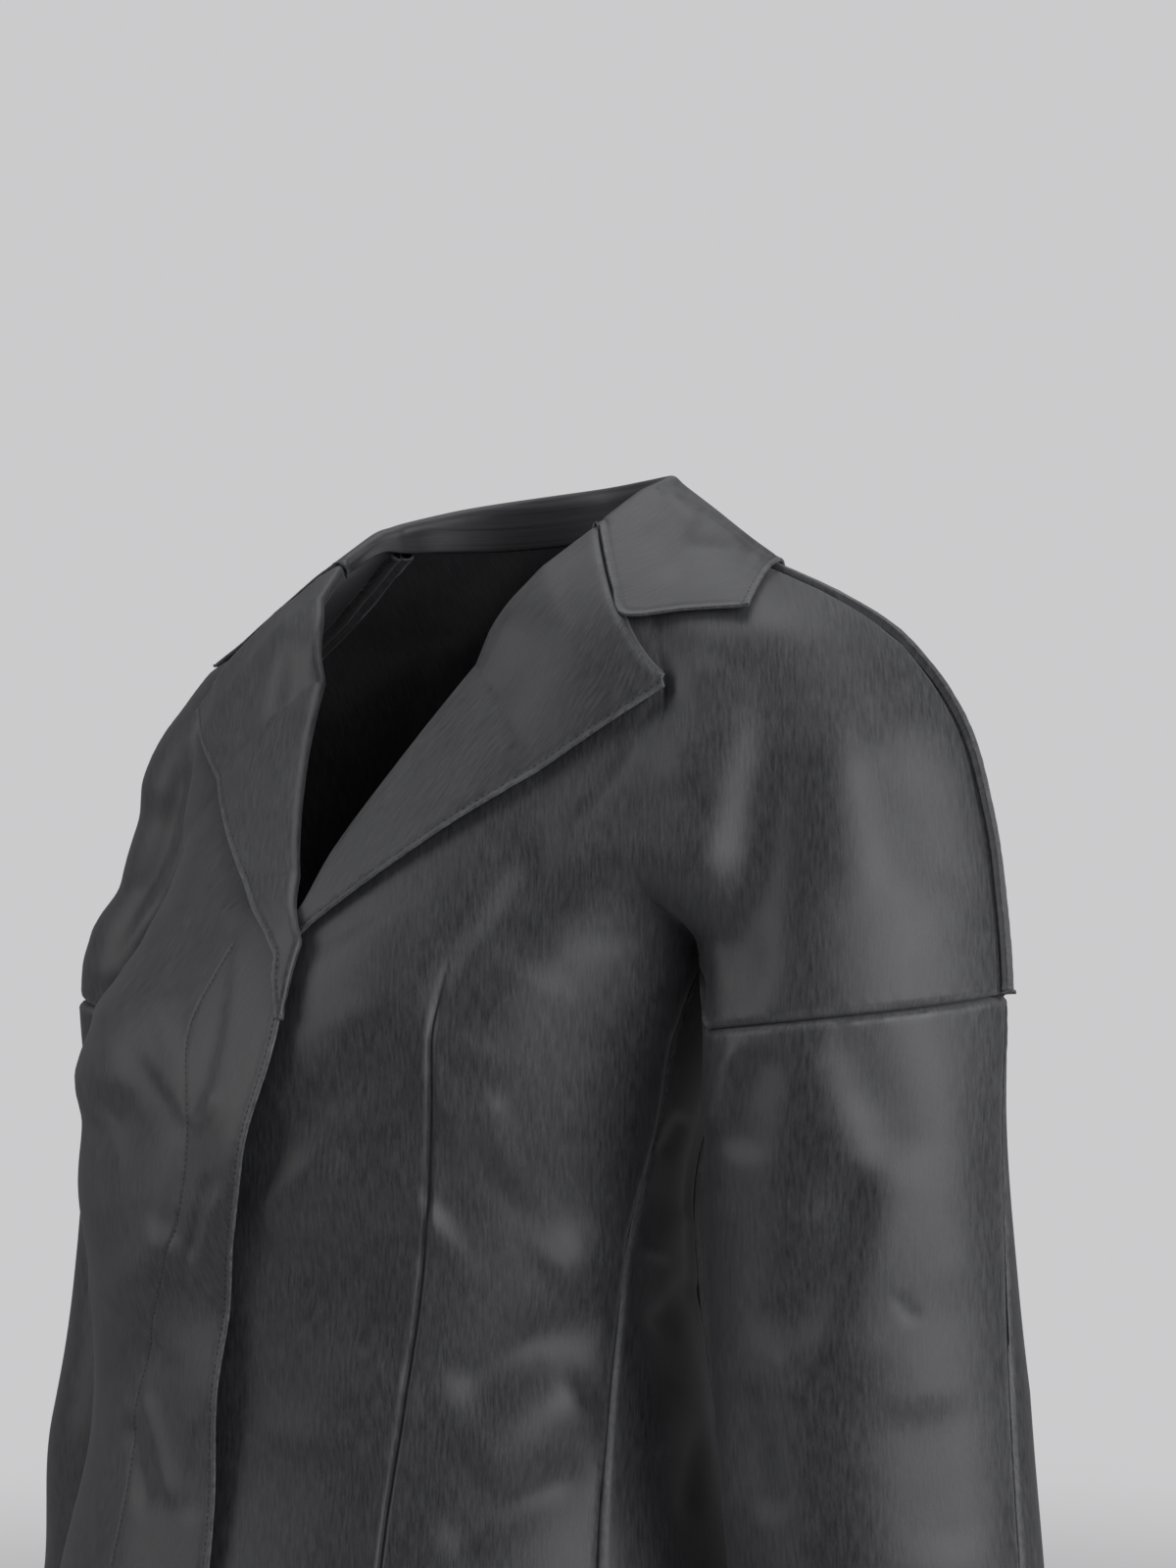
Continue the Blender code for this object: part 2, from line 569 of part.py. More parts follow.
def shoulder_height(x, y, name, side):
    """Height of the garment's upper surface over a point of the plan."""
    low, high = -30.0, 0.5
    for _ in range(30):
        z = 0.5 * (low + high)
        inside = x < float(tip(z, name)) and front_y(x, z, name, side) < y < back_y(x, z, name, side)
        low, high = (z, high) if inside else (low, z)
    return low


def clear_of_cloth(point, name, side):
    """A point of the leaf, raised and pushed off the shoulder, front and back under it."""
    x = abs(point[0])
    floor = shoulder_height(x, point[1], name, side) + LEAF_CLEAR
    point[2] = float(soft_max(point[2], floor, SOFT_FRONT))
    level = min(point[2], 0.0)
    if point[1] < 0 and x < float(tip(level, name)) - 1.0:
        wall = LEAF_CLEAR - float(front_y(x, level, name, side))
        point[1] = -float(soft_max(-point[1], wall, SOFT_FRONT))
    if point[1] > 0 and x < BACK_OF_NECK:
        wall = float(back_y(x, level, name, side)) + LEAF_CLEAR
        point[1] = float(soft_max(point[1], wall, SOFT_BACK))
    return point


def neck_point(station, name, side):
    """Where the stand is sewn to the neck edge."""
    place = COLLAR["neck"]
    value = np.interp(station, range(len(place)), place)
    if station <= FRONT_STATIONS - 1:
        x = float(read(ROLL, name, value)) - GAP
        return np.array([side * x, float(front_y(x, value, name, side)), value])
    if station < FRONT_STATIONS:
        share = station - (FRONT_STATIONS - 1)
        ends = [neck_point(FRONT_STATIONS - 1, name, side), neck_point(FRONT_STATIONS, name, side)]
        return mix(ends[0], ends[1], share)
    y = float(back_y(value, -0.06, name, side)) - GAP
    rise = BACK_NECK_RISE * (1 - (value / float(tip(-0.06, name))) ** 2)
    return np.array([side * value, y, rise])


def front_border(side, name):
    """Front border of the collar: up the fold, down the gorge seam to the notch, out to the tip."""
    border = []
    for along, height in zip(TURN_PROFILE["along"], TURN_PROFILE["height"]):
        x, z, lift = lapel_point(0.0, 0.0, name, side)
        height = WALL + (height - WALL) * lift / LAPEL_LIFT
        border.append(front(x + along, z + SEAM_STEP, name, side, height))
    for u in LAPEL_COLUMNS[:4]:
        x, z, lift = lapel_point(u, 0.0, name, side)
        border.append(front(x + 0.3 * SEAM_STEP, z + SEAM_STEP, name, side, lift))
    corner = np.array([side * COLLAR["edge_x"][0], COLLAR["edge_y"][0], COLLAR["edge_z"][0]])
    border += [mix(border[-1], corner, 0.5), corner]
    return np.array(border)


def collar_row(station, name, side):
    knots = np.arange(len(COLLAR["neck"]))
    here = {key: float(np.interp(station, knots, COLLAR[key])) for key in COLLAR if key != "neck"}
    seam = neck_point(station, name, side)
    crest = np.array([side * here["crest_x"], here["crest_y"], here["crest_z"]])
    edge = np.array([side * here["edge_x"], here["edge_y"], here["edge_z"]])
    up = crest - seam
    up /= np.linalg.norm(up)
    out = edge - crest
    out -= up * out.dot(up)
    out /= np.linalg.norm(out)
    radius = here["fold"]
    centre = crest + out * radius - up * radius
    row = [seam, mix(seam, centre - out * radius, STAND_MIDDLE)]
    for a in np.radians(FOLD_ANGLES):
        row.append(centre + radius * (math.cos(a) * out + math.sin(a) * up))
    leaf = row[-1]
    for t in LEAF_COLUMNS:
        crown = LEAF_CROWN * math.sin(math.pi * t) * min(station / 2, 1)
        row.append(mix(leaf, edge, t) + up * crown)
    row = np.array(row)
    if station < BORDER_REACH:
        row = mix(front_border(side, name), row, float(ease(station / BORDER_REACH)))
    first_leaf = len(row) - len(LEAF_COLUMNS)
    for j in range(first_leaf, len(row)):
        if station > 0 or j >= len(row) - 2:
            row[j] = clear_of_cloth(row[j], name, side)
    return row


def build_collar(collection):
    left = [collar_row(s, "left", 1) for s in STATIONS]
    right = [collar_row(s, "right", -1) for s in STATIONS[:-1]]
    return sheet(collection, "collar", [np.array(left + right[::-1])], True)


def main():
    for old in list(bpy.data.objects):
        bpy.data.objects.remove(old)
    collection = bpy.data.collections.new("blazer")
    bpy.context.scene.collection.children.link(collection)
    for name, side in SIDES:
        build_front(collection, name, side)
        build_side_panel(collection, name, side)
        build_sleeve(collection, name, side, "front")
        build_sleeve(collection, name, side, "back")
        build_lapel(collection, name, side)
    build_back(collection)
    build_collar(collection)


main()
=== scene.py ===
import json
import math

import bpy
import numpy as np
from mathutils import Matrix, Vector

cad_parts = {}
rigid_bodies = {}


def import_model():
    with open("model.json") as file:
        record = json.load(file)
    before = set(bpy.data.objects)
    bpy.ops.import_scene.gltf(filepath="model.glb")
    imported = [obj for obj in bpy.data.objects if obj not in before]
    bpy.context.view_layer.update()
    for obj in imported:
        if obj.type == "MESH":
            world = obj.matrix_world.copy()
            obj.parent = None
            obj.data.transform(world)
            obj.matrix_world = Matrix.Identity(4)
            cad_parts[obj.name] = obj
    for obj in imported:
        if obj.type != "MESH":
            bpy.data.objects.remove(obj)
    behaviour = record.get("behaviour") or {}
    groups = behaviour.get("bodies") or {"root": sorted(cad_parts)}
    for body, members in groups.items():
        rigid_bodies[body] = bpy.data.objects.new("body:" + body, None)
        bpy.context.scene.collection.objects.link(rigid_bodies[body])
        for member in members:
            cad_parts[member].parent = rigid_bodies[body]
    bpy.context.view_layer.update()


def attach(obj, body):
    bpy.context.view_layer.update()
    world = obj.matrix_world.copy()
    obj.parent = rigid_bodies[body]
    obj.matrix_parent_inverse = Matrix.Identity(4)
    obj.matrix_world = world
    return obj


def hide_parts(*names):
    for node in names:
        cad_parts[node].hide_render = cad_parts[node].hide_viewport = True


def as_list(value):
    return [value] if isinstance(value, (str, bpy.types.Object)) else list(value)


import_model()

# The worn blazer: thin cloth sheets on the same form as the solids, with its creases, seams,
# stitching and worn satin. +X is the wearer's left, the fronts face -Y. Tables in centimetres.

CM = 0.01
WALL = 0.16            # cloth with its interlining
GAP = 0.03             # between the edges of two sewn pieces
SLIT = -19.5           # top of the slit under each arm
HEM = -61.0
CUFF = -59.5
TURN = 13.0            # degrees that the waist is turned towards the wearer's left
TURN_RUN = 12.0        # height over which it turns
SHOULDER_TILT = 1.5    # degrees, left shoulder higher
TILT_FADE = ([-60.0, -30.0, 0.0], [0.0, 0.3, 1.0])      # heights, and the share of that tilt there
SQUARE_ARM = 3.2       # squareness of the inner side of the upper arm
FALL_AWAY = 4.0        # how steeply the body's section drops back past its side
FILLET_RUN = 3.0       # distance from the overarm seam over which the rounding fades
NORMAL_STEP = 0.02     # half the span over which a surface's slope is taken

# The body part of the garment: level sections about (cx, cy).
BODY = dict(
    z=[3.0, 0.0, -3.0, -6.0, -12.0, -18.0, -24.0, -30.0, -36.0, -42.0, -48.0, -54.0, -61.0],
    cx=[0.0, 0.0, 0.0, 0.0, -0.1, -0.4, -1.8, -2.8, -2.6, -2.2, -2.0, -2.0, -2.0],
    cy=[0.0, 0.0, -0.5, -1.0, -2.0, -3.4, -5.2, -6.0, -5.9, -5.8, -5.9, -6.0, -6.0],
    wide=[7.0, 7.9, 11.0, 13.6, 15.2, 15.2, 14.8, 14.4, 14.0, 14.5, 16.0, 17.2, 18.2],
    front=[2.6, 3.2, 4.3, 5.8, 8.8, 11.0, 11.5, 10.9, 10.2, 10.3, 11.2, 12.0, 12.6],
    back=[6.0, 7.0, 8.0, 9.0, 10.4, 11.4, 11.8, 11.2, 10.8, 11.2, 12.6, 13.8, 14.4],
    square=[2.0, 2.0, 2.1, 2.2, 2.3, 2.3, 2.3, 2.3, 2.3, 2.3, 2.3, 2.3, 2.3],
    square_back=[2.0, 2.0, 2.1, 2.2, 2.3, 2.3, 2.6, 2.9, 2.9, 2.7, 2.5, 2.4, 2.4],
)
# Shoulder, upper arm and sleeve: tip is the outermost point, ridge the overarm seam's y.
ARM = dict(
    z=[0.5, 0.0, -1.0, -2.0, -3.0, -4.0, -5.0, -6.0, -8.0, -10.0, -14.0, -18.0, -21.4,
       -26.0, -32.0, -38.0, -46.0, -60.0],
    tip=[7.0, 8.5, 10.4, 12.2, 14.1, 16.2, 18.1, 19.7, 21.8, 23.3, 24.8, 25.6, 26.0,
         26.1, 26.3, 26.5, 27.0, 28.0],
    ridge=[0.8, 0.9, 1.2, 1.5, 1.9, 2.2, 2.4, 2.6, 2.8, 2.8, 2.7, 2.5, 2.3,
           1.9, 1.5, 1.1, 0.5, -0.6],
    outer=[7.5, 7.5, 7.5, 7.5, 7.5, 7.5, 7.5, 7.5, 7.2, 7.0, 6.7, 6.4, 6.2,
           6.2, 6.2, 6.2, 6.2, 6.0],
    inner=[9.0, 9.0, 9.0, 9.0, 9.0, 9.0, 9.0, 9.0, 9.0, 9.0, 7.5, 5.2, 4.9,
           5.3, 5.9, 6.2, 6.2, 6.0],
    front=[4.2, 4.4, 5.2, 6.0, 6.8, 7.4, 8.0, 8.4, 8.8, 9.0, 9.1, 9.0, 8.9,
           8.4, 7.6, 7.2, 6.8, 6.4],
    back=[5.0, 5.0, 5.0, 4.8, 4.6, 4.5, 4.3, 4.2, 4.0, 4.0, 4.0, 4.0, 4.0,
          4.3, 4.8, 5.2, 5.8, 6.2],
)
# How far each sleeve hangs away from that form.
SWING = dict(
    z=[0.5, -13.0, -16.0, -19.5, -24.0, -28.0, -34.0, -40.0, -48.0, -60.0],
    left_x=[0.0, 0.0, 0.0, 0.0, 0.0, 0.0, 0.2, 0.5, 0.9, 1.2],
    left_y=[0.0, 0.0, 0.0, 0.0, 0.0, 0.0, 0.0, 0.0, 0.0, 0.0],
    right_x=[0.0, 0.0, 0.5, 1.7, 2.7, 3.3, 3.7, 3.8, 4.4, 5.1],
    right_y=[0.0, 0.0, 0.0, 0.3, 1.2, 2.0, 1.8, 1.4, 1.0, 0.6],
)
# Inner edge of each front above the slit: neck edge, then roll line, as a distance from x = 0.
ROLL = dict(
    z=[0.0, -1.35, -3.0, -4.5, -7.0, -11.0, -15.5, -18.5, -19.5],
    left=[8.3, 8.35, 7.6, 6.7, 5.5, 3.8, 2.0, 1.1, 0.3],
    right=[8.3, 8.35, 7.4, 6.3, 5.3, 3.4, 0.7, -1.45, -2.2],
)
# The same edges below the slit, in degrees round the turned section, + to the wearer's left.
EDGE = dict(
    z=[-23.0, -28.0, -30.6, -34.4, -40.0, -46.0, -54.0, -61.0],
    right=[16.0, 8.0, 3.7, -2.7, -8.5, -9.6, -9.6, -9.6],
    left=[0.0, -7.0, -11.3, -17.7, -23.5, -24.6, -24.6, -24.6],
)
# Seams of the side panel, in degrees round from the middle of the front.
SIDE = dict(
    z=[-24.0, -27.1, -31.4, -35.8, -41.6, -45.3, -53.0, -61.0],
    front=[91.0, 89.6, 82.6, 78.6, 72.0, 68.1, 64.0, 62.0],
    back=[116.0, 116.5, 117.0, 117.5, 118.0, 119.0, 121.0, 122.0],
)
# How far the lapping edge of the right front stands off the left front.
STAND_OFF = dict(
    z=[-16.5, -18.3, -20.0, -24.0, -27.5, -31.0, -34.5, -38.5, -43.0, -47.0, -61.0],
    edge=[0.0, 0.55, 0.55, 0.75, 1.3, 1.05, 0.6, 1.0, 0.7, 0.5, 0.5],
)
LAP_REST = 0.36        # stand-off where the fronts lap
LAP_WIDE = 4.2
LAP_RUN = 4.0          # width over which the right front settles back onto the form
LAP_TOP = -16.5        # height at which the fronts start to lap
LAP_TOP_RUN = 1.8

# Lapel corners as (distance from the centre, height) on the front.
LAPELS = dict(
    left=dict(top=(8.35, -1.4), notch=(12.6, -5.9), tip=(15.0, -8.8), end=(2.3, -18.6),
              roll_end=-18.2),
    right=dict(top=(8.35, -1.4), notch=(12.3, -5.2), tip=(15.4, -8.0), end=(-0.3, -19.2),
               roll_end=-18.4),
)
LAPEL_LIFT = 0.50      # above the front, at the middle of the lapel
LAPEL_END_LIFT = 0.36
ROLL_BULGE = 0.10
LAPEL_NOTCH_AT = 0.64  # share of the lapel's top edge that is sewn to the collar
FOLD_ROOM = 0.38       # from the roll line to the edge of the front inside the fold
FOLD_TOP_RUN = 1.3     # height over which that room opens below the neck point
FOLD_REACH = 0.3       # share of the lapel's width that the fold's bulge reaches
LAPEL_ROWS = 10
LAPEL_COLUMNS = (0.1, 0.28, 0.46, LAPEL_NOTCH_AT, 0.82, 1.0)
# Of the fold at the roll line: distance into the front and height over it.
TURN_PROFILE = dict(
    along=[0.28, 0.05, -0.09, 0.0],
    height=[0.16, 0.17, 0.27, 0.42],
)

# Collar stations from the gorge (first) to the middle of the back (last).
COLLAR = dict(
    neck=[-1.3, -0.7, -0.1, 8.2, 7.3, 5.8, 3.6, 0.0],       # z in front, then x behind
    crest_x=[8.35, 8.55, 8.5, 8.1, 7.0, 5.5, 3.4, 0.0],
    crest_y=[-3.4, -2.2, -0.6, 0.9, 3.0, 4.5, 5.7, 6.4],
    crest_z=[-0.85, 0.0, 0.9, 1.35, 2.0, 2.3, 2.5, 2.6],
    edge_x=[17.3, 16.4, 15.4, 14.4, 12.0, 9.0, 5.2, 0.0],
    edge_y=[-3.8, -1.9, 0.1, 2.2, 5.4, 7.6, 8.9, 9.3],
    edge_z=[-5.4, -4.3, -3.3, -2.8, -3.1, -3.7, -4.2, -4.5],
    fold=[0.14, 0.20, 0.26, 0.28, 0.30, 0.30, 0.30, 0.30],
)
FRONT_STATIONS = 3
STATIONS = [0.0, 0.5, 1.0, 1.5, 2.0, 2.5, 3.0, 3.7, 4.4, 5.2, 6.1, 7.0]
BACK_NECK_RISE = 0.4
NECK_RISE_RUN = 3.6    # depth over which that rise fades out down the back
LEAF_CLEAR = 0.5       # least height of the leaf over the shoulder
LEAF_CROWN = 0.35
LEAF_COLUMNS = (0.1, 0.26, 0.42, 0.6, 0.8, 1.0)
STAND_MIDDLE = 0.6
FOLD_ANGLES = (165, 80)
BACK_OF_NECK = 7.5     # half width in which the leaf hangs clear of the back
SOFT_FRONT = 0.2       # rounding where the leaf comes to rest in front, and behind
SOFT_BACK = 0.3
BORDER_REACH = 2.0     # stations over which the bent front border of the collar fades out
SEAM_STEP = 0.05       # between the lapel's top edge and the collar

# The seam round the upper arm and the slit: (distance from the centre, height) of its corner.
CORNER = dict(left=(17.1, -22.9), right=(18.9, -22.9))
CORNER_BACK = dict(left=(16.8, -22.6), right=(18.6, -22.6))
SLIT_X = dict(left=14.75, right=16.15)
SLIT_X_BACK = dict(left=13.6, right=14.9)
SEAM_OUTER = -21.6
ARMPIT = SLIT - 0.6
ARMPIT_CLEAR = 0.40
ARMPIT_RUN = 0.22      # share of the sleeve's length over which it leaves that edge
AT_CORNER = 112.0      # degrees round the sleeve: the seam's corner, and the slit's top
AT_SLIT = 150.0
SIDE_INSET = 0.15      # of the seam's top from the widest point of the body

SEAM_DEGREES = 0.075   # half a seam's gap round the body
SLEEVE_ENDS = dict(front=(0.12, 179.5), back=(180.5, 359.88))
SIDES = (("left", 1), ("right", -1))


# ---------------------------------------------------------------- curves and sections

def curve(heights, values, z):
    """Smooth curve through a table's rows, read at height z."""
    heights = np.asarray(heights, float)[::-1]
    values = np.asarray(values, float)[::-1]
    z = np.clip(np.asarray(z, float), heights[0], heights[-1])
    row = np.clip(np.searchsorted(heights, z, side="right") - 1, 0, len(heights) - 2)
    step = np.diff(heights)
    slope = np.diff(values) / step
    tangent = np.empty(len(heights))
    tangent[0] = slope[0]
    tangent[-1] = slope[-1]
    tangent[1:-1] = (step[1:] * slope[:-1] + step[:-1] * slope[1:]) / (step[1:] + step[:-1])
    t = (z - heights[row]) / step[row]
    rise = t * t * (3 - 2 * t)
    lead = t * (1 - t) ** 2 * step[row] * tangent[row]
    trail = t * t * (t - 1) * step[row] * tangent[row + 1]
    return values[row] * (1 - rise) + values[row + 1] * rise + lead + trail


def read(table, column, z):
    return curve(table["z"], table[column], z)


def ease(t):
    t = np.clip(t, 0.0, 1.0)
    return t * t * (3 - 2 * t)


def mix(a, b, t):
    return a + (b - a) * t


def bell(value, centre, wide):
    return np.exp(-((value - centre) / wide) ** 2)


def soft_max(a, b, width):
    """Larger of a and b, rounded over a width where they meet."""
    share = np.clip(0.5 + 0.5 * (a - b) / width, 0.0, 1.0)
    return mix(b, a, share) + width * share * (1 - share)


def fillet(z, room):
    """Rounding between body and arm: tight at the slit, none at the overarm seam."""
    width = np.interp(z, [SLIT, SLIT + 1.5, SLIT + 6.0, -6.0, 0.0], [1.5, 3.0, 6.0, 6.0, 2.0])
    return width * np.clip(room / FILLET_RUN, 0.01, 1.0)


def body_depth(x, z, side, column):
    """How far the body's section reaches from its centre at x, falling away past its side."""
    across = np.abs(x * side - read(BODY, "cx", z))
    wide = read(BODY, "wide", z)
    square = read(BODY, "square" if column == "front" else "square_back", z)
    share = np.clip(across / wide, 0.0, 1.0)
    depth = read(BODY, column, z) * (1 - share ** square) ** (1 / square)
    return depth - FALL_AWAY * np.maximum(across - wide, 0.0)


def tip(z, name):
    return read(ARM, "tip", z) + read(SWING, name + "_x", z)


def ridge(z, name):
    return read(ARM, "ridge", z) + read(SWING, name + "_y", z)


def point_back(z):
    """How pointed the back half is at the overarm seam: 1 is a ridge, 0.5 is round."""
    return np.interp(-np.asarray(z, float), [22.0, 38.0], [1.0, 0.5])


def arm_depth(x, z, name, column, sharp):
    edge = tip(z, name)
    outer = read(ARM, "outer", z)
    inner = read(ARM, "inner", z)
    near = np.clip((edge - x) / outer, 0.0, 1.0)
    far = np.clip((edge - outer - x) / inner, 0.0, 1.0)
    outside = (1 - (1 - near) ** 2) ** sharp
    inside = (1 - far ** SQUARE_ARM) ** (1 / SQUARE_ARM)
    return read(ARM, column, z) * np.where(x > edge - outer, outside, inside)


def front_y(x, z, name, side):
    body = body_depth(x, z, side, "front") - read(BODY, "cy", z)
    arm = arm_depth(x, z, name, "front", 0.5) - ridge(z, name)
    return -soft_max(body, arm, fillet(z, tip(z, name) - x))


def back_y(x, z, name, side):
    body = body_depth(x, z, side, "back") + read(BODY, "cy", z)
    arm = arm_depth(x, z, name, "back", point_back(z)) + ridge(z, name)
    return soft_max(body, arm, fillet(z, tip(z, name) - x))


def ring(angle, z, side):
    """Point of the body's section below the slit, at degrees round from the front."""
    angle = np.radians(angle) + 0 * z
    ahead = np.cos(angle) >= 0
    square = np.where(ahead, read(BODY, "square", z), read(BODY, "square_back", z))
    deep = np.where(ahead, read(BODY, "front", z), read(BODY, "back", z))
    across = np.abs(np.sin(angle)) / read(BODY, "wide", z)
    along = np.abs(np.cos(angle)) / deep
    reach = (across ** square + along ** square) ** (-1 / square)
    x = side * reach * np.sin(angle)
    y = -reach * np.cos(angle)
    turn = np.radians(TURN) * ease((SLIT - z) / TURN_RUN)
    return np.stack([read(BODY, "cx", z) + x * np.cos(turn) - y * np.sin(turn),
                     read(BODY, "cy", z) + x * np.sin(turn) + y * np.cos(turn),
                     z + 0 * angle], -1)


def sleeve_ring(angle, z, name, side):
    """Point of the sleeve's section: 0 outside, 90 front, 180 inside, 270 back."""
    angle = np.radians(angle) + 0 * z
    c = np.cos(angle)
    s = np.sin(angle)
    round_in = 2 / np.interp(-z, [22.0, 32.0, 46.0], [SQUARE_ARM, 2.3, 2.0])
    outside = c >= 0
    bend = np.where(s < 0, 2 * point_back(z), 1.0)
    across = np.where(outside, read(ARM, "outer", z) * c,
                      -read(ARM, "inner", z) * np.abs(c) ** round_in)
    deep = np.where(s >= 0, read(ARM, "front", z), read(ARM, "back", z))
    along = deep * np.sign(s) * np.where(outside, np.abs(s) ** bend, np.abs(s) ** round_in)
    x = tip(z, name) - read(ARM, "outer", z) + across
    return np.stack([side * x, ridge(z, name) - along, z + 0 * angle], -1)


def moved_out(surface, a, b, distance, facing):
    """surface(a, b) moved along its own normal."""
    along_a = surface(a + NORMAL_STEP, b) - surface(a - NORMAL_STEP, b)
    along_b = surface(a, b + NORMAL_STEP) - surface(a, b - NORMAL_STEP)
    normal = np.cross(along_a, along_b)
    normal /= np.linalg.norm(normal, axis=-1, keepdims=True)
    return surface(a, b) + facing * np.asarray(distance)[..., None] * normal


def lap(gap_from_edge, z, name):
    """Stand-off of the right front at a distance from its own edge."""
    if name == "left":
        return 0.0 * gap_from_edge
    start = ease((LAP_TOP - z) / LAP_TOP_RUN)
    rest = LAP_REST * start * ease((LAP_WIDE + LAP_RUN - gap_from_edge) / LAP_RUN)
    extra = np.maximum(read(STAND_OFF, "edge", z) - LAP_REST * start, 0.0)
    return rest + extra * ease((LAP_WIDE - gap_from_edge) / LAP_WIDE)


def front(x, z, name, side, out=0.0):
    """Point of a front above the slit, moved out from the cloth."""
    x = np.asarray(x, float) + 0 * z
    z = np.asarray(z, float) + 0 * x

    def surface(a, b):
        return np.stack([side * a, front_y(a, b, name, side), b + 0 * a], -1)

    return moved_out(surface, x, z, lap(x - read(ROLL, name, z), z, name) + out, side)


def tongue_front(angle, z, name, side):
    """Point of a front below the slit; angle is measured away from the other front."""
    radius = read(BODY, "front", z)
    gap_from_edge = np.radians(angle - edge_angle(z, name, side)) * radius
    return moved_out(lambda a, b: ring(a, b, side), angle, z, lap(gap_from_edge, z, name), side)


def angle_at_slit(x, y, side):
    return math.degrees(math.atan2(x - side * float(read(BODY, "cx", SLIT)),
                                   float(read(BODY, "cy", SLIT)) - y))


def edge_angle(z, name, side):
    x = float(read(ROLL, name, SLIT))
    top = angle_at_slit(x, float(front_y(x, SLIT, name, side)), side)
    return curve([SLIT] + EDGE["z"], [top] + [side * a for a in EDGE[name]], z)


def seam_angle(z, name, side, column):
    x = (SLIT_X if column == "front" else SLIT_X_BACK)[name]
    shape = front_y if column == "front" else back_y
    top = angle_at_slit(min(x, body_side(side) - SIDE_INSET), float(shape(x, SLIT, name, side)), side)
    return curve([SLIT] + SIDE["z"], [top] + SIDE[column], z)


def body_side(side):
    return float(read(BODY, "wide", SLIT) + side * read(BODY, "cx", SLIT))


def hang(points):
    """The garment hangs with its left shoulder a little higher; centimetres become metres."""
    points = np.array(points, float)
    share = np.interp(points[..., 2], *TILT_FADE)
    points[..., 2] += math.sin(math.radians(SHOULDER_TILT)) * points[..., 0] * share
    return points * CM


# ---------------------------------------------------------------- camera of the picture

FRAME_SIZE = (1200, 1600)
LENS_PX = 2795.0
SENSOR_MM = 36.0
AZIMUTH = math.radians(42.0)
PITCH = math.radians(2.05)
DISTANCE = 1.30
EYE_HEIGHT = -0.166
AXIS_PX = 524.0        # column of the picture in which the garment's axis stands

AHEAD = np.array([-math.sin(AZIMUTH), math.cos(AZIMUTH), 0.0])
RIGHT = np.array([math.cos(AZIMUTH), math.sin(AZIMUTH), 0.0])
EYE = (-AHEAD * DISTANCE + RIGHT * (FRAME_SIZE[0] / 2 - AXIS_PX) / LENS_PX * DISTANCE
       + np.array([0.0, 0.0, EYE_HEIGHT]))
LOOK = AHEAD * math.cos(PITCH) + np.array([0.0, 0.0, math.sin(PITCH)])
UP = np.cross(RIGHT, LOOK)


def seen(points):
    """Column and row of the 1200 x 1600 picture in which each point shows."""
    ray = points - EYE
    depth = ray @ LOOK
    return np.stack([FRAME_SIZE[0] / 2 + LENS_PX * (ray @ RIGHT) / depth,
                     FRAME_SIZE[1] / 2 - LENS_PX * (ray @ UP) / depth], -1)


# ---------------------------------------------------------------- lines on the cloth

def smooth_line(points, per_span=6):
    """Catmull-Rom curve through a few points."""
    points = np.asarray(points, float)
    if len(points) < 3:
        return points
    ends = np.vstack([2 * points[0] - points[1], points, 2 * points[-1] - points[-2]])
    t = np.linspace(0, 1, per_span, endpoint=False)[:, None]
    spans = []
    for a, b, c, d in zip(ends, ends[1:], ends[2:], ends[3:]):
        spans.append(0.5 * (2 * b + (c - a) * t + (2 * a - 5 * b + 4 * c - d) * t ** 2
                            + (3 * b - a - 3 * c + d) * t ** 3))
    return np.vstack(spans + [points[-1:]])


def to_line(places, line, reach=None):
    """Distance of each place from a line, its share along it, and on a plane its side (+-1)."""
    best = np.full(len(places), 1e9)
    along = np.zeros(len(places))
    side = np.ones(len(places))
    near = np.arange(len(places))
    if reach is not None:
        inside = (places > line.min(0) - reach).all(1) & (places < line.max(0) + reach).all(1)
        near = near[inside]
    if not len(near):
        return best, along, side
    some = places[near]
    lengths = np.linalg.norm(np.diff(line, axis=0), axis=1)
    start = np.concatenate([[0], np.cumsum(lengths)])
    for i, (a, b) in enumerate(zip(line, line[1:])):
        d = b - a
        t = np.clip(((some - a) @ d) / max(d @ d, 1e-12), 0, 1)
        off = some - a - t[:, None] * d
        far = np.sqrt((off * off).sum(1))
        closer = far < best[near]
        rows = near[closer]
        best[rows] = far[closer]
        along[rows] = (start[i] + t[closer] * lengths[i]) / start[-1]
        if places.shape[1] == 2:
            side[rows] = np.sign(d[0] * off[closer, 1] - d[1] * off[closer, 0])
    return best, along, side


def waver(s, rate, phase):
    """Uneven wave between -1 and 1 along a line."""
    return (np.sin(s * rate + phase) + 0.7 * np.sin(s * rate * 1.73 + 2.1 * phase)
            + 0.5 * np.sin(s * rate * 0.61 + 0.7 * phase)) / 2.2


def relief(places, lines):
    """Height of soft ridges (+) and troughs (-) at each place. A line's two widths are those on
    its left and right where it runs down the page, and its last number its height in mm."""
    total = np.zeros(len(places))
    for number, (points, (left, right), height) in enumerate(lines):
        line = smooth_line(points)
        distance, along, side = to_line(places, line, 3 * max(left, right))
        width = np.where(side > 0, left, right)
        fade = ease(along / 0.22) * ease((1 - along) / 0.22)
        uneven = 1 + 0.15 * waver(along, 9.0, number)
        total += height * 0.001 * bell(distance, 0, width) * fade * uneven
    return total


# ---------------------------------------------------------------- sheets of cloth

THICK = 0.0014         # of the cloth shown, in metres
RIM_ANGLES = (35, 90, 145)
RIM_SET_IN = 0.8       # of the rim's radius, so that the rounding stays inside the cut
# Turned-in cloth of a seam, in metres: how far out and how deep each of its rows lies.
ALLOWANCE = ((0.0003, 0.0008, 0.0018), (0.0003, 0.0030, 0.0050))
BESIDE = 0.03          # how far from a seam or an edge its shape is worked out, in metres
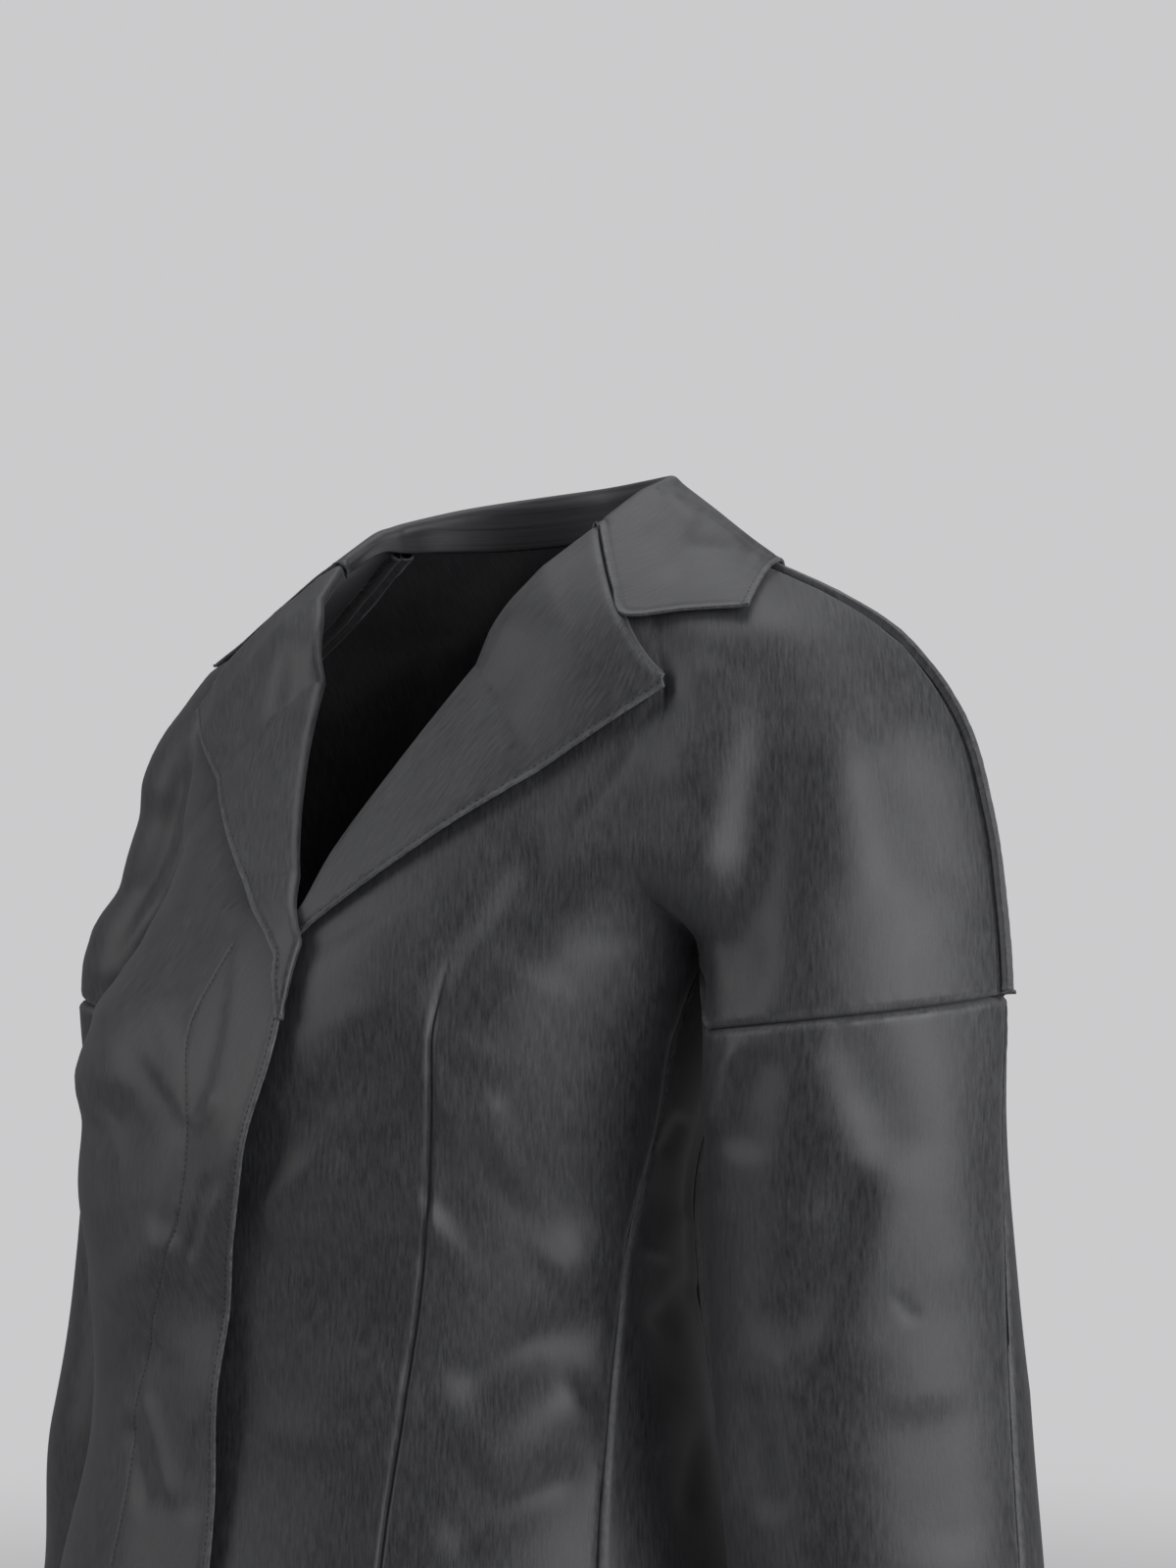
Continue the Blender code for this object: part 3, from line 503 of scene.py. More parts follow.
# In millimetres from a seam or an edge: where its puckers, wear and roll lie, and their widths.
PUCKER_AT, PUCKER_WIDE = 2.5, 3.0
WORN_AT, WORN_WIDE = 1.8, 1.7
ROLL_WIDE, STITCH_WIDE, BAND_WIDE = 1.6, 0.9, 2.6
LEAN_WIDE = 5.0


def run(length, base, first=None, last=None, growth=0.3):
    """Shares 0 to 1 along a stretch, closer together near an end that has a step of its own."""
    first = base if first is None else first
    last = base if last is None else last
    at = [0.0]
    while at[-1] < length:
        left = length - at[-1]
        at.append(at[-1] + min(base, first + growth * at[-1], last + growth * left))
    return np.array(at) / at[-1]


class Sheet:
    """One cut piece: grids of points on the garment's form, joined where they share a border."""

    def __init__(self, name, grids, flip, across):
        self.name = name
        points = np.concatenate([grid.reshape(-1, 3) for grid in grids])
        key = np.round(points, 5)
        _, first, place = np.unique(key, axis=0, return_index=True, return_inverse=True)
        place = place.reshape(-1)
        self.points = hang(points[first])
        self.cloth = np.stack([np.concatenate([a.ravel() for a in across])[first],
                               points[first][:, 2]], -1)
        self.ids = []
        faces = []
        start = 0
        for grid in grids:
            count = grid.shape[0] * grid.shape[1]
            ids = place[start:start + count].reshape(grid.shape[:2])
            start += count
            self.ids.append(ids)
            quads = np.stack([ids[:-1, :-1], ids[1:, :-1], ids[1:, 1:], ids[:-1, 1:]], -1)
            faces.append(quads.reshape(-1, 4))
        self.faces = np.concatenate(faces)
        if flip:
            self.faces = self.faces[:, ::-1]
        self.wear = np.zeros(len(self.points))
        self.height = np.zeros(len(self.points))
        self.groove = np.zeros(len(self.points))
        self.sewn_in = np.zeros(len(self.points), int)
        self.find_normals()
        self.form_normals = self.normals
        self.threads = []

    def find_normals(self):
        a, b, c, d = (self.points[self.faces[:, k]] for k in range(4))
        face = np.cross(c - a, d - b)
        total = np.zeros_like(self.points)
        for k in range(4):
            np.add.at(total, self.faces[:, k], face)
        self.normals = total / np.maximum(np.linalg.norm(total, axis=1, keepdims=True), 1e-12)

    def facing(self):
        """1 where the cloth faces the picture's camera, 0 where it turns away."""
        ray = EYE - self.points
        ray /= np.linalg.norm(ray, axis=1, keepdims=True)
        return ease(((self.normals * ray).sum(1) + 0.15) / 0.25)

    def crease(self):
        """Adds this piece's creases: those drawn in the picture, and those on its own cloth."""
        picture = PICTURE_LINES.get(self.name, ())
        self.height += relief(seen(self.points), picture) * self.facing()
        self.height += relief(self.cloth, CLOTH_LINES.get(self.name, ()))

    def along(self, ids, reach=BESIDE):
        """Line through a row of points; each point's distance from it and place along it, in mm."""
        line = self.points[list(ids[:-1:2]) + [ids[-1]]]
        length = np.linalg.norm(np.diff(line, axis=0), axis=1).sum()
        far, share, _ = to_line(self.points, line, reach)
        return line, far * 1000, share * length * 1000

    def seam(self, ids, number, dip=0.9, wide=1.5, pucker=0.25, across=None):
        """A seam: the cloth dips into it, puckers a little and is worn beside it. Where both
        sides meet on a ridge, across is the level direction that leads over the seam."""
        line, mm, s = self.along(ids)
        if across is not None:
            self.lean(line, ids, mm, s, across)
        self.groove = np.maximum(self.groove, 0.001 * dip * bell(mm, 0, wide))
        self.sewn_in[ids] += 1
        reach = bell(mm, PUCKER_AT, PUCKER_WIDE)
        self.height += 0.001 * pucker * waver(s, 0.9, number) * reach
        worn = bell(mm, WORN_AT, WORN_WIDE)
        self.wear = np.maximum(self.wear, worn * (0.7 + 0.3 * waver(s, 0.16, number)))

    def lean(self, line, ids, mm, s, across):
        """Turns the normals beside a ridge seam square to it and to the way across."""
        far = np.concatenate([[0], np.cumsum(np.linalg.norm(np.diff(line, axis=0), axis=1))])
        square = np.cross(np.gradient(line, axis=0), across)
        square *= np.sign((square * self.normals[ids[0]]).sum(1).mean())
        square /= np.linalg.norm(square, axis=1, keepdims=True)
        own = np.stack([np.interp(s, far * 1000, square[:, k]) for k in range(3)], -1)
        mixed = mix(self.normals, own, bell(mm, 0, LEAN_WIDE)[:, None])
        self.normals = mixed / np.linalg.norm(mixed, axis=1, keepdims=True)
        self.form_normals = self.normals

    def edge(self, ids, number, stitched=3.0, roll=0.35, pucker=0.3):
        """A turned edge, thicker at the rim, with a stitched line inside it."""
        _, mm, s = self.along(ids)
        self.height += 0.001 * roll * bell(mm, 0, ROLL_WIDE)
        if stitched:
            self.height -= 0.001 * roll * bell(mm, stitched, STITCH_WIDE)
            band = bell(mm, stitched, BAND_WIDE)
            self.height += 0.001 * pucker * waver(s, 0.75, number) * band
        worn = bell(mm, 0, WORN_WIDE)
        self.wear = np.maximum(self.wear, worn * (0.75 + 0.25 * waver(s, 0.2, number)))

    def settle(self, out=WALL * CM):
        """Moves the cloth out to its place, creases included."""
        self.points = self.points + self.normals * (out + self.height - self.groove)[:, None]
        self.find_normals()

    def inset(self, ids, distance):
        """Line at a distance inside the border that is the first column of ids, and normals."""
        spots, ups = [], []
        for row in ids:
            step = np.linalg.norm(np.diff(self.points[row], axis=0), axis=1)
            far = np.concatenate([[0], np.cumsum(step)])
            spots.append([np.interp(distance, far, self.points[row][:, k]) for k in range(3)])
            ups.append([np.interp(distance, far, self.normals[row][:, k]) for k in range(3)])
        return np.array(spots), np.array(ups)

    def outward(self, border, normals):
        """Direction out of the sheet at each point of its border, square to the normals."""
        away = np.zeros_like(self.points)
        step = self.points[border[:, 1]] - self.points[border[:, 0]]
        out = np.cross(step, normals[border[:, 0]])
        out /= np.maximum(np.linalg.norm(out, axis=1, keepdims=True), 1e-12)
        np.add.at(away, border[:, 0], out)
        np.add.at(away, border[:, 1], out)
        return away / np.maximum(np.linalg.norm(away, axis=1, keepdims=True), 1e-12)

    def build(self, slot):
        """Closes the sheet with a rounded rim and an inner face, and makes the object."""
        edges = np.concatenate([self.faces[:, [k, (k + 1) % 4]] for k in range(4)])
        count = len(self.points)
        code = edges[:, 0] * count + edges[:, 1]
        back = edges[:, 1] * count + edges[:, 0]
        border = edges[~np.isin(code, back)]
        border = border[border[:, 0] != border[:, 1]]
        away = self.outward(border, self.normals)
        into_seam = self.outward(border, self.form_normals)
        rim = np.unique(border)
        radius = THICK / 2
        points = self.points.copy()
        points[rim] -= away[rim] * radius * RIM_SET_IN
        inner = points - self.normals * THICK
        layers = [points, inner]
        turned_in = (self.sewn_in[rim] == 1)[:, None]
        number = np.zeros(count, int)
        number[rim] = np.arange(len(rim))
        rings = [lambda v: v]
        base = 2 * count
        for k, (angle, reach, deep) in enumerate(zip(np.radians(RIM_ANGLES), *ALLOWANCE)):
            ring = (points[rim] + away[rim] * radius * math.sin(angle)
                    - self.normals[rim] * radius * (1 - math.cos(angle)))
            seam = points[rim] + into_seam[rim] * reach - self.form_normals[rim] * deep
            layers.append(np.where(turned_in, seam, ring))
            rings.append(lambda v, start=base + k * len(rim): start + number[v])
        rings.append(lambda v: v + count)
        faces = [self.faces, self.faces[:, ::-1] + count]
        a, b = border[:, 0], border[:, 1]
        for near, far in zip(rings, rings[1:]):
            faces.append(np.stack([near(b), near(a), far(a), far(b)], -1))
        points = np.concatenate(layers)
        faces = np.concatenate(faces)
        source = np.concatenate([np.arange(count), np.arange(count)] + [rim] * len(RIM_ANGLES))

        mesh = bpy.data.meshes.new(self.name)
        mesh.from_pydata(points.tolist(), [], faces.tolist())
        mesh.shade_smooth()
        layer = mesh.uv_layers.new(name="cloth")
        corners = np.zeros(len(mesh.loops), np.int32)
        mesh.loops.foreach_get("vertex_index", corners)
        layer.uv.foreach_set("vector", (self.cloth[source][corners] * CM).astype(np.float32).ravel())
        store = mesh.attributes.new("wear", "FLOAT", "POINT")
        store.data.foreach_set("value", self.wear[source].astype(np.float32))
        piece = bpy.data.objects.new(self.name + "_cloth", mesh)
        bpy.context.scene.collection.objects.link(piece)
        mesh.materials.append(SATINS[slot])
        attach(piece, "root")
        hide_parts(self.name)
        self.object = piece


def stitches(name, rows, pitch=2.7, long=1.9, thick=0.30, lift=0.10):
    """Short threads along lines; each row is (points, normals), sizes in millimetres."""
    verts, faces = [], []
    sides = 6
    ring = np.radians(np.arange(sides) * 360 / sides)
    for points, normals in rows:
        step = np.linalg.norm(np.diff(points, axis=0), axis=1)
        far = np.concatenate([[0], np.cumsum(step)]) * 1000
        start = 1.0
        while start + long < far[-1]:
            ends = []
            for at in (start, start + long):
                ends.append([np.array([np.interp(at, far, source[:, k]) for k in range(3)])
                             for source in (points, normals)])
            (a, na), (b, nb) = ends
            along = b - a
            along /= max(np.linalg.norm(along), 1e-9)
            up = na + nb
            up -= along * up.dot(along)
            up /= max(np.linalg.norm(up), 1e-9)
            cross = np.cross(along, up)
            base = len(verts)
            radius = thick * 0.0005
            shape = ((0.0, 0.25, -0.05), (0.22, 1.0, lift), (0.78, 1.0, lift), (1.0, 0.25, -0.05))
            for share, wide, high in shape:
                centre = mix(a, b, share) + up * high * 0.001
                verts.extend(centre + radius * wide * (math.cos(t) * cross + math.sin(t) * up)
                             for t in ring)
            for k in range(len(shape) - 1):
                for j in range(sides):
                    p = base + k * sides + j
                    q = base + k * sides + (j + 1) % sides
                    faces.append((p, q, q + sides, p + sides))
            faces.append(tuple(base + j for j in reversed(range(sides))))
            faces.append(tuple(base + 3 * sides + j for j in range(sides)))
            start += pitch
    mesh = bpy.data.meshes.new(name)
    mesh.from_pydata([tuple(v) for v in verts], [], faces)
    mesh.shade_smooth()
    mesh.materials.append(THREAD)
    piece = bpy.data.objects.new(name, mesh)
    bpy.context.scene.collection.objects.link(piece)
    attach(piece, "root")
    return piece


# ---------------------------------------------------------------- materials

class Graph:
    """Nodes of a material or of the world: each is added with its settings and what feeds it."""

    def __init__(self, owner):
        owner.use_nodes = True
        self.nodes = owner.node_tree.nodes
        self.links = owner.node_tree.links

    def feed(self, node, inputs):
        """Sets the node's sockets, or links those whose value is another node's output."""
        for key, value in inputs.items():
            if isinstance(value, bpy.types.NodeSocket):
                self.links.new(value, node.inputs[key])
            else:
                node.inputs[key].default_value = value

    def add(self, kind, output, inputs, **settings):
        node = self.nodes.new("ShaderNode" + kind)
        for key, value in settings.items():
            setattr(node, key, value)
        self.feed(node, inputs)
        return node.outputs[output]

    def remap(self, value, to_low, to_high, low=0.3, high=0.7):
        return self.add("MapRange", "Result", {"Value": value, "From Min": low, "From Max": high,
                                               "To Min": to_low, "To Max": to_high})

    def both(self, operation, a, b):
        return self.add("Math", 0, {0: a, 1: b}, operation=operation)

    def scaled(self, colour, amount):
        return self.add("VectorMath", "Vector", {0: colour, "Scale": amount}, operation="SCALE")


# Noise on the cloth: its rate across and along the grain, detail and roughness.
SLUB = ((680, 105), 4.0, 0.7)
THREADS = ((4200, 700), 2.0, 0.5)
CLOUD = ((26, 17), 4.0, 0.62)
BLOTCH = ((110, 70), 3.0, 0.6)
PATCHES = ((900, 260), 3.0, 0.6)


def satin(name, colour, worn):
    """Washed satin: slubby grain along the cloth, cloudy colour, dull sheen, lighter worn edges."""
    material = bpy.data.materials.new(name)
    graph = Graph(material)
    place = graph.add("UVMap", "UV", {}, uv_map="cloth")

    def noise(rate, detail, rough):
        moved = graph.add("Mapping", "Vector", {"Vector": place, "Scale": (*rate, 1.0)})
        return graph.add("TexNoise", "Fac", {"Vector": moved, "Scale": 1.0, "Detail": detail,
                                             "Roughness": rough})

    slub, threads, cloud, blotch, patches = (
        noise(*kind) for kind in (SLUB, THREADS, CLOUD, BLOTCH, PATCHES))
    tone = graph.both("MULTIPLY", graph.remap(slub, 0.40, 1.70), graph.remap(cloud, 0.86, 1.16))
    tone = graph.both("MULTIPLY", tone, graph.remap(blotch, 0.92, 1.08))
    tone = graph.both("MULTIPLY", tone, graph.remap(threads, 0.90, 1.10))
    wear = graph.add("Attribute", "Fac", {}, attribute_name="wear")
    amount = graph.both("MULTIPLY", wear, graph.remap(patches, 0.15, 0.95, 0.35, 0.65))
    shown = graph.add("Mix", "Result", {"Factor": amount, "A": graph.scaled(colour, tone),
                                        "B": (*worn, 1.0)}, data_type="RGBA")
    rough = graph.both("ADD", graph.remap(slub, 0.40, 0.56), graph.remap(cloud, -0.03, 0.04))
    height = graph.both("ADD", graph.both("MULTIPLY", slub, 0.7),
                        graph.both("MULTIPLY", threads, 0.3))
    bump = graph.add("Bump", "Normal", {"Strength": 0.45, "Distance": 0.00025, "Height": height})
    graph.feed(graph.nodes["Principled BSDF"], {
        "Base Color": shown, "Roughness": rough, "Normal": bump, "Metallic": 0.0,
        "Specular IOR Level": 0.6, "Sheen Weight": 0.2, "Sheen Roughness": 0.45,
        "Sheen Tint": (0.85, 0.86, 0.9, 1.0)})
    return material


def thread_material(name, colour):
    material = bpy.data.materials.new(name)
    graph = Graph(material)
    place = graph.add("TexCoord", "Object", {})
    twist = graph.add("TexNoise", "Fac", {"Vector": place, "Scale": 1800.0})
    tone = graph.remap(twist, 0.6, 1.3, 0.0, 1.0)
    graph.feed(graph.nodes["Principled BSDF"],
               {"Base Color": graph.scaled(colour, tone), "Roughness": 0.6})
    return material


# ---------------------------------------------------------------- fronts and back

CELL = 0.27            # usual spacing of the cloth's points
FINE = 0.07            # spacing beside a seam or an edge
BACK_CELL = 0.34
LOW_CELL = 0.42        # below the picture
PICTURE_FOOT = -47.0
SLIT_BLEND = 3.0       # height over which the cloth below the slit takes up that above it
LINE_BLEND = 6.0       # and over which its columns settle into their own lines
HEAD_HIGH = 2.6        # of the shoulder's cloth between the slit and the seam round the arm
FRONT_WIDE = 20.0      # of a front at the slit, to space its columns
GRAIN_RATE = 1.25      # of the fronts' grain, which is measured across the picture

# Lines sewn on the fronts below the slit, in degrees round the turned section:
# the dart of the left front and the stitching that holds the hidden button strip of the right.
SEWN = dict(
    left=dict(z=[-19.5, -25.2, -29.7, -33.3, -38.0, -43.4, -45.2, -61.0],
              angle=[46.3, 45.3, 42.9, 41.4, 37.3, 31.8, 30.6, 26.0]),
    right=dict(z=[-19.5, -21.1, -22.7, -26.2, -30.6, -35.7, -39.0, -44.9, -61.0],
               angle=[6.8, 8.7, 11.0, 10.1, 14.4, 28.4, 35.6, 38.0, 38.0]),
)


# Slack of the left side of the waist, round the section in degrees: a fold behind the side
# panel's seam between two heights, and a hollow before it about one.
FOLD = dict(out=1.8, angle=127, wide=7.0, top=-23.5, top_run=5.0, foot=-49.0, foot_run=7.0)
HOLLOW = dict(deep=0.7, angle=111, wide=8.0, z=-30.5, high=4.5)
# The hollow before the left arm is bridged by cloth drawn tight over it: half the spans that are
# bridged in turn, how many times, and the stretch of the front on which that holds.
TIGHT_SPANS = (2.2, 1.2, 0.6)
TIGHT_ROUNDS = 12
TIGHT_FROM = dict(z=(-8.6, -9.9, -12.0, -14.0, -19.5), x=(15.0, 12.9, 10.5, 9.2, 9.2))
TIGHT_RUN = 2.8
TIGHT_TO = 20.5
TIGHT_TO_RUN = 2.5
TIGHT_TOP = -8.6
TIGHT_TOP_RUN = 3.0
TIGHT_FOOT_RUN = 4.2


def spare(angle, z, side):
    """How far the cloth of the left side stands off the form; none on the right."""
    if side < 0:
        return 0.0 * angle
    fold = FOLD["out"] * bell(angle, FOLD["angle"], FOLD["wide"])
    fold *= ease((FOLD["top"] - z) / FOLD["top_run"]) * ease((z - FOLD["foot"]) / FOLD["foot_run"])
    hollow = HOLLOW["deep"] * bell(angle, HOLLOW["angle"], HOLLOW["wide"])
    return fold - hollow * bell(z, HOLLOW["z"], HOLLOW["high"])


def split_rows():
    top = run(-SLIT, CELL, 0.06, CELL)
    upper = mix(-0.06, SLIT, top)
    shown = mix(SLIT, PICTURE_FOOT, run(SLIT - PICTURE_FOOT, CELL))
    rest = mix(PICTURE_FOOT, HEM, run(PICTURE_FOOT - HEM, LOW_CELL, CELL, FINE))
    return upper, np.concatenate([shown, rest[1:]])


def columns_above(start, name, slit_x, body, arm, z):
    end = tip(z, name)
    line = mix(start, end, (slit_x - start[-1]) / (end[-1] - start[-1]))
    x = [mix(start, line, share) for share in body]
    x += [mix(line, end, math.sin(0.5 * math.pi * share)) for share in arm[1:]]
    return np.stack(x, -1)


def sleeve_head(top, top_x, name, corner, surface, rows, trim):
    """Shoulder extension between the slit and the seam round the upper arm."""
    foot_z = mix(corner[1], SEAM_OUTER, trim)
    foot_x = mix(corner[0], float(tip(SEAM_OUTER, name)), np.sin(0.5 * np.pi * trim))
    grid = []
    for t in rows:
        z = mix(SLIT, foot_z, t)
        x = mix(top_x, foot_x, t)
        x += (float(tip(z[-1], name)) - x[-1]) * np.sin(0.5 * np.pi * trim)
        grid.append(surface(x, z))
    grid = np.stack(grid)
    grid += (top - grid[0]) * (1 - ease(rows / 0.8))[:, None, None]
    grid[0] = top
    return grid


def arm_half(column, name, side):
    way = -1 if column == "front" else 1

    def surface(x, z):
        sharp = 0.5 if column == "front" else point_back(z)
        y = ridge(z, name) + way * arm_depth(x, z, name, column, sharp)
        return np.stack([side * x, y, z], -1)

    return surface


def column_angles(columns, shape, name, side):
    depth = shape(columns, SLIT, name, side)
    return np.array([angle_at_slit(x, float(y), side) for x, y in zip(columns, depth)])


def arc(grid, start):
    """Distance along each row of a grid, from a value at its first column."""
    step = np.linalg.norm(np.diff(grid, axis=1), axis=-1)
    return start[:, None] + np.concatenate([np.zeros((len(grid), 1)), np.cumsum(step, 1)], 1)


def drawn_tight(x, y, z):
    """Front of the left section with the hollow before the arm bridged, down to the slit."""
    tight = y.copy()
    for reach in TIGHT_SPANS * TIGHT_ROUNDS:
        for row, places in enumerate(x):
            ahead = np.interp(places + reach, places, tight[row])
            behind = np.interp(places - reach, places, tight[row])
            tight[row] = np.minimum(tight[row], 0.5 * (ahead + behind))
    start = np.interp(-z, -np.array(TIGHT_FROM["z"]), TIGHT_FROM["x"])[:, None] + 0.3
    share = ease((x - start) / TIGHT_RUN) * ease((TIGHT_TO - x) / TIGHT_TO_RUN)
    share *= (ease((z - SLIT) / TIGHT_FOOT_RUN) * ease((TIGHT_TOP - z) / TIGHT_TOP_RUN))[:, None]
    return mix(y, tight, share)


def front_sheet(name, side):
    upper_z, lower_z = split_rows()
    slit_x = SLIT_X[name]
    edge_x = float(read(ROLL, name, SLIT))
    trial = np.linspace(edge_x, slit_x, 80)
    degrees = column_angles(trial, front_y, name, side)
    sewn = curve(SEWN[name]["z"], SEWN[name]["angle"], lower_z)
    at_line = (float(np.interp(sewn[0], degrees, trial)) - edge_x) / (slit_x - edge_x)
    near = run(at_line * FRONT_WIDE, CELL, FINE, FINE)
    far = run((1 - at_line) * FRONT_WIDE, CELL, FINE, FINE)
    body = np.concatenate([near * at_line, at_line + (1 - at_line) * far[1:]])
    arm = run(15.0, CELL, CELL, 0.12)
    count = len(body)

    start = read(ROLL, name, upper_z)
    start = start + FOLD_ROOM * ease(-upper_z / FOLD_TOP_RUN) * ease(upper_z - SLIT)
    x = columns_above(start, name, slit_x, body, arm, upper_z)
    upper = front(x, upper_z[:, None] + 0 * x, name, side)
    if side > 0:
        upper[..., 1] = drawn_tight(x, upper[..., 1], upper_z)
    upper[:, -1, 1] = ridge(upper_z, name) - 0.5 * GAP

    first = edge_angle(lower_z, name, side)[:, None]
    last = seam_angle(lower_z, name, side, "front")[:, None]
    at_top = np.append(column_angles(x[-1, :count - 1], front_y, name, side), last[0])
    line = sewn[:, None]
    on_near = body <= at_line + 1e-9
    angle = np.where(on_near, mix(first, line, body / at_line),
                     mix(line, last - SEAM_DEGREES, (body - at_line) / (1 - at_line)))
    angle += (at_top - angle[0]) * (1 - ease((SLIT - lower_z) / LINE_BLEND))[:, None]
    lower = tongue_front(angle, lower_z[:, None] + 0 * angle, name, side)
    lower += (upper[-1, :count] - lower[0]) * (1 - ease((SLIT - lower_z) / SLIT_BLEND))[:, None, None]
    lower[0] = upper[-1, :count]

    rows = run(HEAD_HIGH, 0.2, 0.2, FINE)
    head = sleeve_head(upper[-1, count - 1:], x[-1, count - 1:], name, CORNER[name],
                       arm_half("front", name, side), rows, arm)
    head[1:, -1, 1] -= 0.5 * GAP
    turn = GRAIN_RATE * np.array([math.cos(AZIMUTH), side * math.sin(AZIMUTH)])
    across = [grid[..., :2] @ turn for grid in (upper, lower, head)]
    cloth = Sheet("front_" + name, [upper, lower, head], side < 0, across)
    cloth.sewn = cloth.ids[1][:, len(near) - 1]
    return cloth


def back_sheet():
    upper_z, lower_z = split_rows()
    body = run(17.0, BACK_CELL, BACK_CELL, 0.15)
    arm = run(13.0, BACK_CELL, 0.15, 0.12)
    count = len(body)
    grids, across = [], []
    for name, side in SIDES:
        slit_x = SLIT_X_BACK[name]
        x = columns_above(0 * upper_z, name, slit_x, body, arm, upper_z)
        z = upper_z[:, None] + 0 * x
        rise = 1 - (x / tip(z, name)) ** 2
        rise *= BACK_NECK_RISE * ease((NECK_RISE_RUN + z) / NECK_RISE_RUN)
        y = back_y(x, z, name, side)
        y[:, -1] = ridge(upper_z, name) + 0.5 * GAP
        upper = np.stack([side * x, y, z + rise], -1)

        last = seam_angle(lower_z, name, side, "back")[:, None] + SEAM_DEGREES
        at_top = column_angles(x[-1, :count - 1], back_y, name, side) % 360
        at_top = np.append(at_top, last[0])
        middle = at_top[0] if side > 0 else 360 - middle
        share = (middle - at_top) / (middle - last[0])
        share[0] = 0.0
        angle = mix(middle, last, share[None, :])
        heights = lower_z[:, None] + 0 * angle
        lower = moved_out(lambda a, b: ring(a, b, side), angle, heights,
                          spare(angle, heights, side), side)
        lower += (upper[-1, :count] - lower[0]) * (1 - ease((SLIT - lower_z) / SLIT_BLEND))[:, None, None]
        lower[0] = upper[-1, :count]
        if side > 0:
            centre = lower[:, 0].copy()
        lower[:, 0] = centre

        rows = run(HEAD_HIGH, 0.25, 0.25, FINE)
        head = sleeve_head(upper[-1, count - 1:], x[-1, count - 1:], name, CORNER_BACK[name],
                           arm_half("back", name, side), rows, arm)
        head[1:, -1, 1] += 0.5 * GAP
        spans = [arc(upper, 0 * upper_z), arc(lower, 0 * lower_z)]
        spans.append(arc(head, np.full(len(head), spans[0][-1, count - 1])))
        for grid, span in zip((upper, lower, head), spans):
            grids.append(grid if side > 0 else grid[:, ::-1])
            across.append(side * (span if side > 0 else span[:, ::-1]))
    return Sheet("back", grids, True, across)


def side_sheet(name, side):
    rows = split_rows()[1]
    rows[0] -= 5 * GAP
    first = seam_angle(rows, name, side, "front")[:, None] + SEAM_DEGREES
    last = seam_angle(rows, name, side, "back")[:, None] - SEAM_DEGREES
    angle = mix(first, last, run(7.5, CELL, FINE, FINE)[None, :])
    heights = rows[:, None] + 0 * angle
    grid = moved_out(lambda a, b: ring(a, b, side), angle, heights, spare(angle, heights, side), side)
    return Sheet("side_panel_" + name, [grid], side < 0, [arc(grid, 0 * rows)])


# ---------------------------------------------------------------- sleeves

def sleeve_top(angle, name, side):
    """Top edge of the sleeve: seam round the arm, slit edge, then the armpit."""
    if AT_SLIT < angle < 360 - AT_SLIT:
        ends = [float(seam_angle(ARMPIT, name, side, column)) for column in ("front", "back")]
        around = mix(ends[0], ends[1], (angle - AT_SLIT) / (360 - 2 * AT_SLIT))
        clear = np.array(2 * WALL + GAP + ARMPIT_CLEAR)
        return moved_out(lambda p, q: ring(p, q, side), np.array(around), np.array(ARMPIT),
                         clear, side)
    in_front = angle <= 180
    corner_x, corner_z = (CORNER if in_front else CORNER_BACK)[name]
    slit_x = (SLIT_X if in_front else SLIT_X_BACK)[name]
    turned = angle if in_front else 360 - angle
    if turned <= AT_CORNER:
        share = 1 - turned / AT_CORNER
        z = mix(corner_z, SEAM_OUTER, share)
        x = mix(corner_x, float(tip(z, name)), math.sin(0.5 * math.pi * share))
    else:
        share = (turned - AT_CORNER) / (AT_SLIT - AT_CORNER)
        z = mix(corner_z, ARMPIT, share)
        x = mix(corner_x, slit_x, (z - corner_z) / (SLIT - corner_z))
    point = arm_half("front" if in_front else "back", name, side)(np.array(x), np.array(z))
    point[2] -= 2 * GAP
    return point


# Fullness of the left sleeve towards the body, between two heights.
ELBOW = dict(out=0.5, angle=152, wide=38.0, top=-27.0, foot=-60.0)


def sleeve_sheet(name, side, half):
    low, high = SLEEVE_ENDS[half]
    cell = CELL if (half, name) == ("front", "left") else BACK_CELL
    turn = run(20.0, cell, 0.1, 0.1)
    down = run(38.5, cell, FINE, FINE)
    columns = []
    for angle in mix(low, high, turn):
        top = sleeve_top(angle, name, side)
        line = sleeve_ring(angle, mix(top[2], CUFF, down), name, side)
        if side > 0:
            bulge = ease((ELBOW["top"] - line[:, 2]) / 6.0) * ease((line[:, 2] - ELBOW["foot"]) / 8.0)
            line[:, 0] -= ELBOW["out"] * bell(angle, ELBOW["angle"], ELBOW["wide"]) * bulge
        line += (1 - ease(down / ARMPIT_RUN))[:, None] * (top - line[0])
        columns.append(line)
    grid = np.stack(columns, 1)
    return Sheet(f"sleeve_{half}_{name}", [grid], side > 0, [arc(grid, 0 * down)])


# ---------------------------------------------------------------- lapels and collar

def knots(rows, at):
    """Catmull-Rom through rows (first axis) at fractional positions."""
    rows = np.asarray(rows, float)
    ends = np.concatenate([2 * rows[:1] - rows[1:2], rows, 2 * rows[-1:] - rows[-2:-1]])
    at = np.asarray(at, float)
    i = np.clip(at.astype(int), 0, len(rows) - 2)
    t = (at - i).reshape((-1,) + (1,) * (rows.ndim - 1))
    a, b, c, d = (ends[i + k] for k in range(4))
    return 0.5 * (2 * b + (c - a) * t + (2 * a - 5 * b + 4 * c - d) * t ** 2
                  + (3 * b - a - 3 * c + d) * t ** 3)


